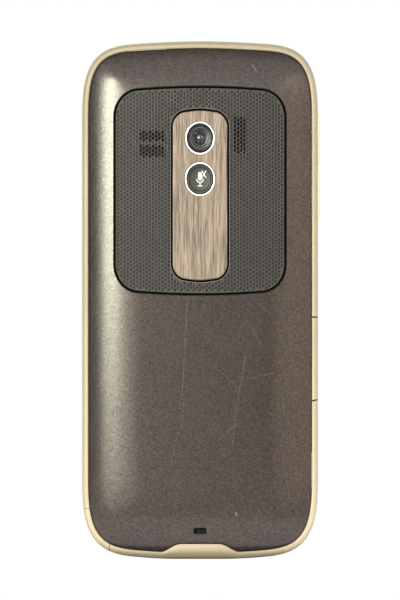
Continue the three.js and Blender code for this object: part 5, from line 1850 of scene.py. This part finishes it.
def handset(turn: float) -> list[np.ndarray]:
    """Shapes of a telephone handset, turned by an angle."""
    ends = [rounded_rect(s * 1.3 - 0.42, s * 1.3 + 0.42, -0.35, 0.55, 0.2, 3) for s in (-1, 1)]
    bow = arch((1.6, 1.15), (1.1, 0.6), 0.12 * pi, 0.88 * pi, 13)
    spin = np.array([[cos(turn), sin(turn)], [-sin(turn), cos(turn)]])
    return [(shape - (0, 0.35)) @ spin for shape in (bow, *ends)]


def house() -> list[np.ndarray]:
    """Shapes of a house: its roof and its two walls."""
    walls = [rounded_rect(s * 0.65 - 0.35, s * 0.65 + 0.35, -1.1, 0.0, 0.06, 2) for s in (-1, 1)]
    return [np.array([(-1.4, 0.05), (1.4, 0.05), (0, 1.35)]), *walls]


def arrow() -> list[np.ndarray]:
    """Shapes of an arrow that turns back: its head, its bow and its shaft."""
    head = np.array([(1.5, 0.4), (0.6, 1.1), (0.6, -0.3)])
    bow = arch((0.95, 0.8), (0.6, 0.5), QUARTER, 3 * QUARTER, 11) + (-0.3, -0.25)
    return [head, bow, rounded_rect(-0.32, 0.65, 0.26, 0.54, 0.04, 2)]


@dataclass
class FrontKey:
    """One key under the screen, with the finish and the shapes of its sign."""

    node: str
    body: Body
    ink: Finish
    sign: list[np.ndarray]
    low: float = 5.0
    high: float = 11.8
    corner: float = 1.2
    flange: float = 0.3

    def sides(self) -> Pair:
        """Left and right side of the cap, without the flange below it."""
        low, high = extent(self.node)
        return float(low[0]) + self.flange, float(high[0]) - self.flange

    def build(self, caps: KeyCaps) -> None:
        """Builds the cap and its sign."""
        low, high = extent(self.node)
        left, right = self.sides()
        x, z = (left + right) / 2, (self.low + self.high) / 2
        sizes = {
            "Width": right - left, "Length": self.high - self.low, "Corner": self.corner,
            "Height": float(high[1] - low[1]), "Round": 0.3, "Dish": 0.15,
        }
        mesh = caps.run(points_mesh(f"{self.node}_cap", np.array([[x, low[1], z]])), FRONT_KEY, **sizes)
        mended(mesh)
        piece(f"{self.node}_cap", mesh, FRONT_KEY, self.body, [self.node])
        mark, face = Shell(), high[1] - 0.12
        for shape in self.sign:
            mark.prism(shape + (x, z), face, face + 0.1)
        mark.stand(f"{self.node}_mark", self.ink, self.body)


FRONT_KEYS = (
    FrontKey("talk_key", Body.TALK, MARK_GREEN, handset(-0.75)),
    FrontKey("home_key", Body.HOME, MARK_DARK, house()),
    FrontKey("back_key", Body.BACK, MARK_DARK, arrow()),
    FrontKey("end_key", Body.END, MARK_RED, handset(0.0)),
)


@dataclass
class DisplayHalf:
    """Display half: tray, bezel, glass, bar, grille and the four front keys."""

    outline: Outline
    glass: Window = Window(26.6, 18.2, 107.4, 3.0, 0.6)
    wall: float = 1.6
    seam: float = 0.15
    tray_round: float = 2.4
    tray_floor: float = 1.0
    bezel_round: float = 0.9
    bezel_draw: float = 1.25
    bezel_thickness: float = 1.5
    soft: float = 0.1
    ear: float = 1.5
    hinge_gap: float = 0.3
    bar_depth: float = 0.8
    slits: int = 9
    slit_half_width: float = 0.2
    slit_half_length: float = 0.42
    camera_x: float = 16.0
    camera_z: float = 110.6
    camera_radius: float = 1.6
    sensor_radius: float = 0.8

    def build(self) -> None:
        """Builds every piece of the display half."""
        self.tray()
        self.bezel()
        low, high = extent("touch_glass")
        pane = Shell().prism(self.glass.outline(), low[1], high[1], 0.28)
        pane.stand("touch_glass_pane", TOUCH_GLASS, Body.DISPLAY, "touch_glass")
        self.bar_and_grille()
        self.camera()
        self.sensor()
        caps = KeyCaps()
        for key in FRONT_KEYS:
            key.build(caps)

    def hinge_boxes(self, grow: float, left: float, right: float, low: float, high: float) -> list[Shell]:
        """Makes a block round each hinge.

        Args:
            grow: How far the block reaches past the knuckle at each end.
            left: Its left side.
            right: Its right side.
            low: Its back level.
            high: Its front level.
        """
        made = []
        for node in ("hinge_knuckle_bottom", "hinge_knuckle_top"):
            start, end = extent(node)
            made.append(Shell().box((left, low, start[2] - grow), (right, high, end[2] + grow)))
        return made

    def tray(self) -> None:
        """Builds the tray, open where the hinge's knuckles sit."""
        low, high = extent("display_tray")
        back, front = low[1], high[1]
        draw = self.tray_round
        turns = quarter_turn(10)
        rings = [self.outline.ring(draw * (1 - sin(a)), back + draw * (1 - cos(a))) for a in turns]
        rings += [self.outline.ring(0, front - self.soft), self.outline.ring(self.soft, front)]
        inner = self.outline.half_width - self.wall + self.seam
        left = extent("hinge_knuckle_top")[0][0] - self.hinge_gap
        ears = self.hinge_boxes(self.hinge_gap + self.ear, left + self.seam, inner, back, front)
        cavity = self.outline.slab(self.wall, back + self.tray_floor, front + 1).mesh("cavity")
        body = carved(Shell().loft(rings).mesh("display_tray_shell"), [carved(cavity, ears)])
        outer = self.outline.half_width + BEYOND
        pockets = self.hinge_boxes(self.hinge_gap, left, outer, back - BEYOND, front + BEYOND)
        piece("display_tray_shell", carved(body, pockets), FRAME_PAINT, Body.DISPLAY, ["display_tray"])

    def slot(self, node: str, margin: float = 0.0) -> np.ndarray:
        """Outline of a long round-ended piece, grown by a margin."""
        low, high = extent(node)
        edge = (high[2] - low[2]) / 2
        return grown(rounded_rect(low[0], high[0], low[2], high[2], edge * 0.96, 8), margin)

    def bezel(self) -> None:
        """Builds the bezel with its openings."""
        low, high = extent("display_bezel")
        back, top = low[1], high[1]
        rings = [self.outline.ring(self.soft, back), self.outline.ring(0, back + self.soft)]
        for angle in quarter_turn(10):
            inset = self.bezel_draw * (1 - cos(angle))
            rings.append(self.outline.ring(inset, top - self.bezel_round * (1 - sin(angle))))
        through = [self.slot("earpiece_grille", self.seam)]
        for x, radius in ((self.camera_x, self.camera_radius), (-self.camera_x, self.sensor_radius)):
            r, z = radius + self.seam, self.camera_z
            through.append(rounded_rect(x - r, x + r, z - r, z + r, r - 1e-3, 8))
        for key in FRONT_KEYS:
            through.append(grown(rounded_rect(*key.sides(), key.low, key.high, key.corner), self.seam))
        cuts = [
            self.outline.slab(self.wall, back - BEYOND, top - self.bezel_thickness),
            Shell().prism(self.glass.outline(self.seam), CUT_BACK, CUT_FRONT),
            Shell().prism(self.slot("zoom_bar", self.seam), top - self.bar_depth, CUT_FRONT),
            *(Shell().prism(outline, CUT_BACK, CUT_FRONT) for outline in through),
        ]
        body = carved(Shell().loft(rings).mesh("display_bezel_shell"), cuts)
        piece("display_bezel_shell", body, BEZEL_PAINT, Body.DISPLAY, ["display_bezel"])

    def bar_and_grille(self) -> None:
        """Builds the bar under the screen and the slitted earpiece grille."""
        low, high = extent("zoom_bar")
        bar = Shell().prism(self.slot("zoom_bar"), low[1], high[1], 0.22)
        bar.stand("zoom_bar_cap", POLISHED_HIGHLIT_PAINT, Body.DISPLAY, "zoom_bar")
        low, high = extent("earpiece_grille")
        grille = Shell().prism(self.slot("earpiece_grille"), low[1], high[1], 0.15).mesh("earpiece_plate")
        middle, pitch = (low[2] + high[2]) / 2, (high[0] - low[0]) / (self.slits + 1)
        wide, long = self.slit_half_width, self.slit_half_length
        slit = rounded_rect(-wide, wide, -long, long, wide * 0.95, 3)
        places = low[0] + pitch * np.arange(1, self.slits + 1)
        slits = [Shell().prism(slit + (x, middle), CUT_BACK, CUT_FRONT) for x in places]
        piece("earpiece_plate", carved(grille, slits), STEEL, Body.DISPLAY, ["earpiece_grille"])

    def camera(self) -> None:
        """Builds the barrel and the domed lens of the front camera."""
        face, outer, mouth = extent("front_camera")[1][1], self.camera_radius, 0.9
        # Radius of each step of the barrel, with how far it lies behind the face
        steps = (
            (outer, 1.6), (outer, 0), (1.42, 0), (1.42, 0.12),
            (mouth, 0.2), (mouth, 0.4), (0, 0.45), (0, 1.6),
        )
        barrel = Shell().turned([(r, face - drop) for r, drop in steps], self.camera_x, self.camera_z, 40)
        barrel.stand("front_camera_barrel", LENS, Body.DISPLAY, "front_camera")
        seat = face - 0.42
        dome = [(0, seat), *((0.85 * sin(a), seat + 0.25 * cos(a)) for a in np.linspace(1.5, 0, 7))]
        lens = Shell().turned(dome, self.camera_x, self.camera_z, 32)
        lens.stand("front_camera_lens", LENS_COAT, Body.DISPLAY)

    def sensor(self) -> None:
        """Builds the slightly domed window of the light sensor."""
        low, high = extent("light_sensor")
        radius, face, crest = (high[0] - low[0]) / 2, high[1], 0.04
        profile = [(0, low[1]), (radius, low[1]), (radius, face - 0.15), (radius - 0.06, face - crest)]
        profile += [(radius * share, face - crest * share) for share in (0.8, 0.5, 0.2, 0)]
        window = Shell().turned(profile, (low[0] + high[0]) / 2, self.camera_z, 32)
        window.stand("light_sensor_window", LENS, Body.DISPLAY, "light_sensor")


# Keyboard


@dataclass
class Keyboard:
    """Keyboard under the display: a rubber mat with painted caps."""

    left: float = -3.4
    low: float = 12.35
    row_pitch: float = 5.9
    column_pitch: float = 8.3
    rows: int = 5
    columns: int = 11
    gap: float = 0.8
    space_first: int = 4
    space_columns: int = 3

    def places(self, face: float) -> tuple[np.ndarray, np.ndarray]:
        """Middle of every single key and of the space key, at the level of the mat."""
        single = []
        for row in range(self.rows):
            for column in range(self.columns):
                spaced = self.space_first <= column < self.space_first + self.space_columns
                if row == self.rows - 1 and spaced:
                    continue
                x = self.left + (row + 0.5) * self.row_pitch
                single.append((x, face, self.low + (column + 0.5) * self.column_pitch))
        x = self.left + (self.rows - 0.5) * self.row_pitch
        wide = (x, face, self.low + (self.space_first + self.space_columns / 2) * self.column_pitch)
        return np.array(single), np.array([wide])

    def build(self) -> None:
        """Builds the mat and its caps."""
        low, high = extent("keyboard_mat")
        base, sunk = low[1], 0.4
        mat = Shell().box((low[0], base, low[2]), (high[0], base + 0.5, high[2]), 0.15)
        mat.stand("keyboard_mat_sheet", CLEAR, Body.BASE, "keyboard_mat")
        single, wide = self.places(base + sunk)
        caps = KeyCaps()
        sizes = {"Width": self.row_pitch - self.gap, "Corner": 0.9, "Round": 0.28, "Dish": 0.16}
        sizes["Height"] = float(high[1] - base - sunk)
        for name, places, length in (
            ("keyboard_keys", single, self.column_pitch),
            ("keyboard_space_key", wide, self.column_pitch * self.space_columns),
        ):
            mesh = caps.run(points_mesh(name, places), KEY, Length=length - self.gap, **sizes)
            mended(mesh)
            piece(name, mesh, KEY, Body.BASE)


# Solids that show as they are


@dataclass
class Workings:
    """Boards, springs, rails and fittings that keep the shape of their solids."""

    bevel: float = 0.09

    def build(self) -> None:
        """Gives each of them its finish and softens its edges."""
        for finish, nodes in WORKINGS.items():
            for node in nodes:
                self.dress(bpy.data.objects[node], finish)

    def dress(self, solid: bpy.types.Object, finish: Finish) -> None:
        """Gives a solid its finish, and a fine bevel along its edges.

        Args:
            solid: The solid.
            finish: Its finish.
        """
        solid.data.materials.clear()
        solid.data.materials.append(finish.material())
        weld = solid.modifiers.new("weld", "WELD")
        weld.merge_threshold = 1e-6
        bevel = solid.modifiers.new("bevel", "BEVEL")
        bevel.width = self.bevel * MM
        bevel.segments = 2
        bevel.limit_method = "ANGLE"
        bevel.angle_limit = radians(40)
        bevel.harden_normals = True
        LOG.info("%s: solid in %s", solid.name, finish.name)


WORKINGS = {
    CHASSIS: ("rear_chassis", "camera_module", "mute_switch", "front_key_switches", "memory_card"),
    SPEAKER: ("loudspeaker_left", "loudspeaker_right", "earpiece_receiver"),
    BATTERY: ("battery",),
    GOLD: ("battery_contacts",),
    BOARD: ("main_board", "display_board"),
    SHIELD: ("shield_can_radio", "shield_can_processor", "card_socket"),
    STEEL: (
        "vibration_motor", "usb_socket", "screw_top_left", "screw_top_right",
        "screw_bottom_left", "screw_bottom_right", "hinge_knuckle_bottom", "hinge_knuckle_top",
    ),
    PLATE: ("carriage_plate", "rail_top", "rail_bottom"),
    CHROME: ("hinge_pin_bottom", "hinge_pin_top"),
    DECK: ("keyboard_deck",),
    CLEAR: ("dome_sheet",),
    LCD: ("lcd_panel",),
}


# Studio


@dataclass(frozen=True)
class Lamp:
    """Rectangular lamp that looks at the phone or straight up, with sizes and places in metres."""

    name: str
    place: Triple
    size: Pair
    light: float
    tint: Triple = (1.0, 1.0, 1.0)
    diffuse: bool = True
    upward: bool = False

    def build(self) -> None:
        """Places the lamp, whose light is its radiance where the world's is about one."""
        data = bpy.data.lights.new(self.name, "AREA")
        data.shape = "RECTANGLE"
        data.size, data.size_y = self.size
        data.energy = self.light * self.size[0] * self.size[1] * pi
        data.color = self.tint
        lamp = placed(self.name, data)
        lamp.location = self.place
        aim = Vector(PHONE_MIDDLE) - Vector(self.place)
        lamp.rotation_euler = (pi, 0, 0) if self.upward else aim.to_track_quat("-Z", "Y").to_euler()
        lamp.visible_camera = False
        lamp.visible_diffuse = self.diffuse


LAMPS = (
    Lamp("key", (-0.188, -0.570, 0.136), (0.135, 0.17), 52.0, (0.88, 1.0, 0.82), diffuse=False),
    Lamp("right", (0.29, -0.54, 0.08), (0.46, 0.36), 2.8, (1.0, 0.90, 0.66), diffuse=False),
    Lamp("soft", (-0.080, -0.594, 0.03), (0.085, 0.30), 6.5, (1.0, 0.98, 0.85), diffuse=False),
    Lamp("top", (0.0, -0.55, 0.27), (0.7, 0.28), 2.2, diffuse=False),
    Lamp("overhead", (0.0, -0.25, 0.9), (1.0, 0.8), 0.8),
    Lamp("card", (0.0, -0.155, 0.001), (0.5, 0.29), 0.9, upward=True),
    Lamp("sill", (0.0, -0.03, 0.001), (0.5, 0.04), 1.4, upward=True),
    Lamp("front_fill", (-0.35, 0.95, 0.55), (0.6, 0.6), 2.4),
)


@dataclass
class Studio:
    """Pale floor, soft lamps and the camera at the photograph's angle."""

    ambient: float = 0.68
    floor_reach: float = 2000.0
    lean_cosine: float = 0.8927
    view_width: float = 0.1506
    distance: float = 0.3

    def build(self) -> None:
        """Builds the world, the floor, the lamps and the camera."""
        self.world()
        corners = np.array([(-1, -1, 0), (1, -1, 0), (1, 1, 0), (-1, 1, 0)]) * self.floor_reach
        mesh = Shell().add(corners, [(0, 1, 2, 3)]).mesh("floor")
        sheet = placed("floor", mesh)
        mesh.materials.append(PAPER.material())
        for lamp in LAMPS:
            lamp.build()
        self.camera()

    def world(self) -> None:
        """White where it is seen or mirrored, and softer as the light of the room."""
        world = bpy.data.worlds.new("studio")
        bpy.context.scene.world = world
        world.use_nodes = True
        graph = Graph(world.node_tree)
        path = graph.put("ShaderNodeLightPath").outputs
        seen = graph.math("MAXIMUM", path["Is Camera Ray"], path["Is Glossy Ray"])
        seen = graph.math("MAXIMUM", seen, path["Is Transmission Ray"])
        background = world.node_tree.nodes["Background"].inputs
        background["Color"].default_value = (1, 1, 1, 1)
        graph.wire(background["Strength"], graph.ranged(seen, 0.0, 1.0, self.ambient, 1.0))

    def camera(self) -> None:
        """Places the camera, whose upright axis leans along its own line of sight.

        The photograph is a little narrower than the phone is, for its height. A camera without
        perspective sees the phone in those proportions when its upright axis leans back: the
        lean shortens what it measures upwards and leaves the phone itself as it is.
        """
        data = bpy.data.cameras.new("camera")
        data.type = "ORTHO"
        data.ortho_scale = self.view_width
        camera = placed("camera", data)
        camera.parent = placed("camera_rig", None)
        lean = acos(self.lean_cosine)
        back_row = (0, sin(lean), -1, -self.distance)
        up_row = (0, cos(lean), 0, PHONE_MIDDLE[2])
        camera.matrix_parent_inverse = Matrix(((1, 0, 0, 0), back_row, up_row, (0, 0, 0, 1)))
        bpy.context.scene.camera = camera


def main() -> None:
    """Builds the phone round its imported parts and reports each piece."""
    logging.basicConfig(level=logging.INFO, format="%(message)s")
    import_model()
    bpy.context.scene.view_settings.view_transform = "Standard"
    high = extent("base_frame")[1]
    outline = Outline(float(high[0]), float(high[2] / 2))
    window = Window(half=21.45, low=59.2, high=105.8, corner=6.2, bow=1.1)
    strip = Window(half=6.9, low=62.4, high=100.5, corner=3.5, bow=1.3)
    shell = RearShell(outline)
    shell.build()
    BatteryCover(outline, shell, window).build()
    SpeakerPanel(window, strip).build(Bead())
    CameraStrip(strip, camera_height=94.3, mute_height=85.1).build()
    SideControls(shell).build()
    Stylus().build()
    DisplayHalf(outline).build()
    Keyboard().build()
    Workings().build()
    Studio().build()


if __name__ == "__main__":
    main()
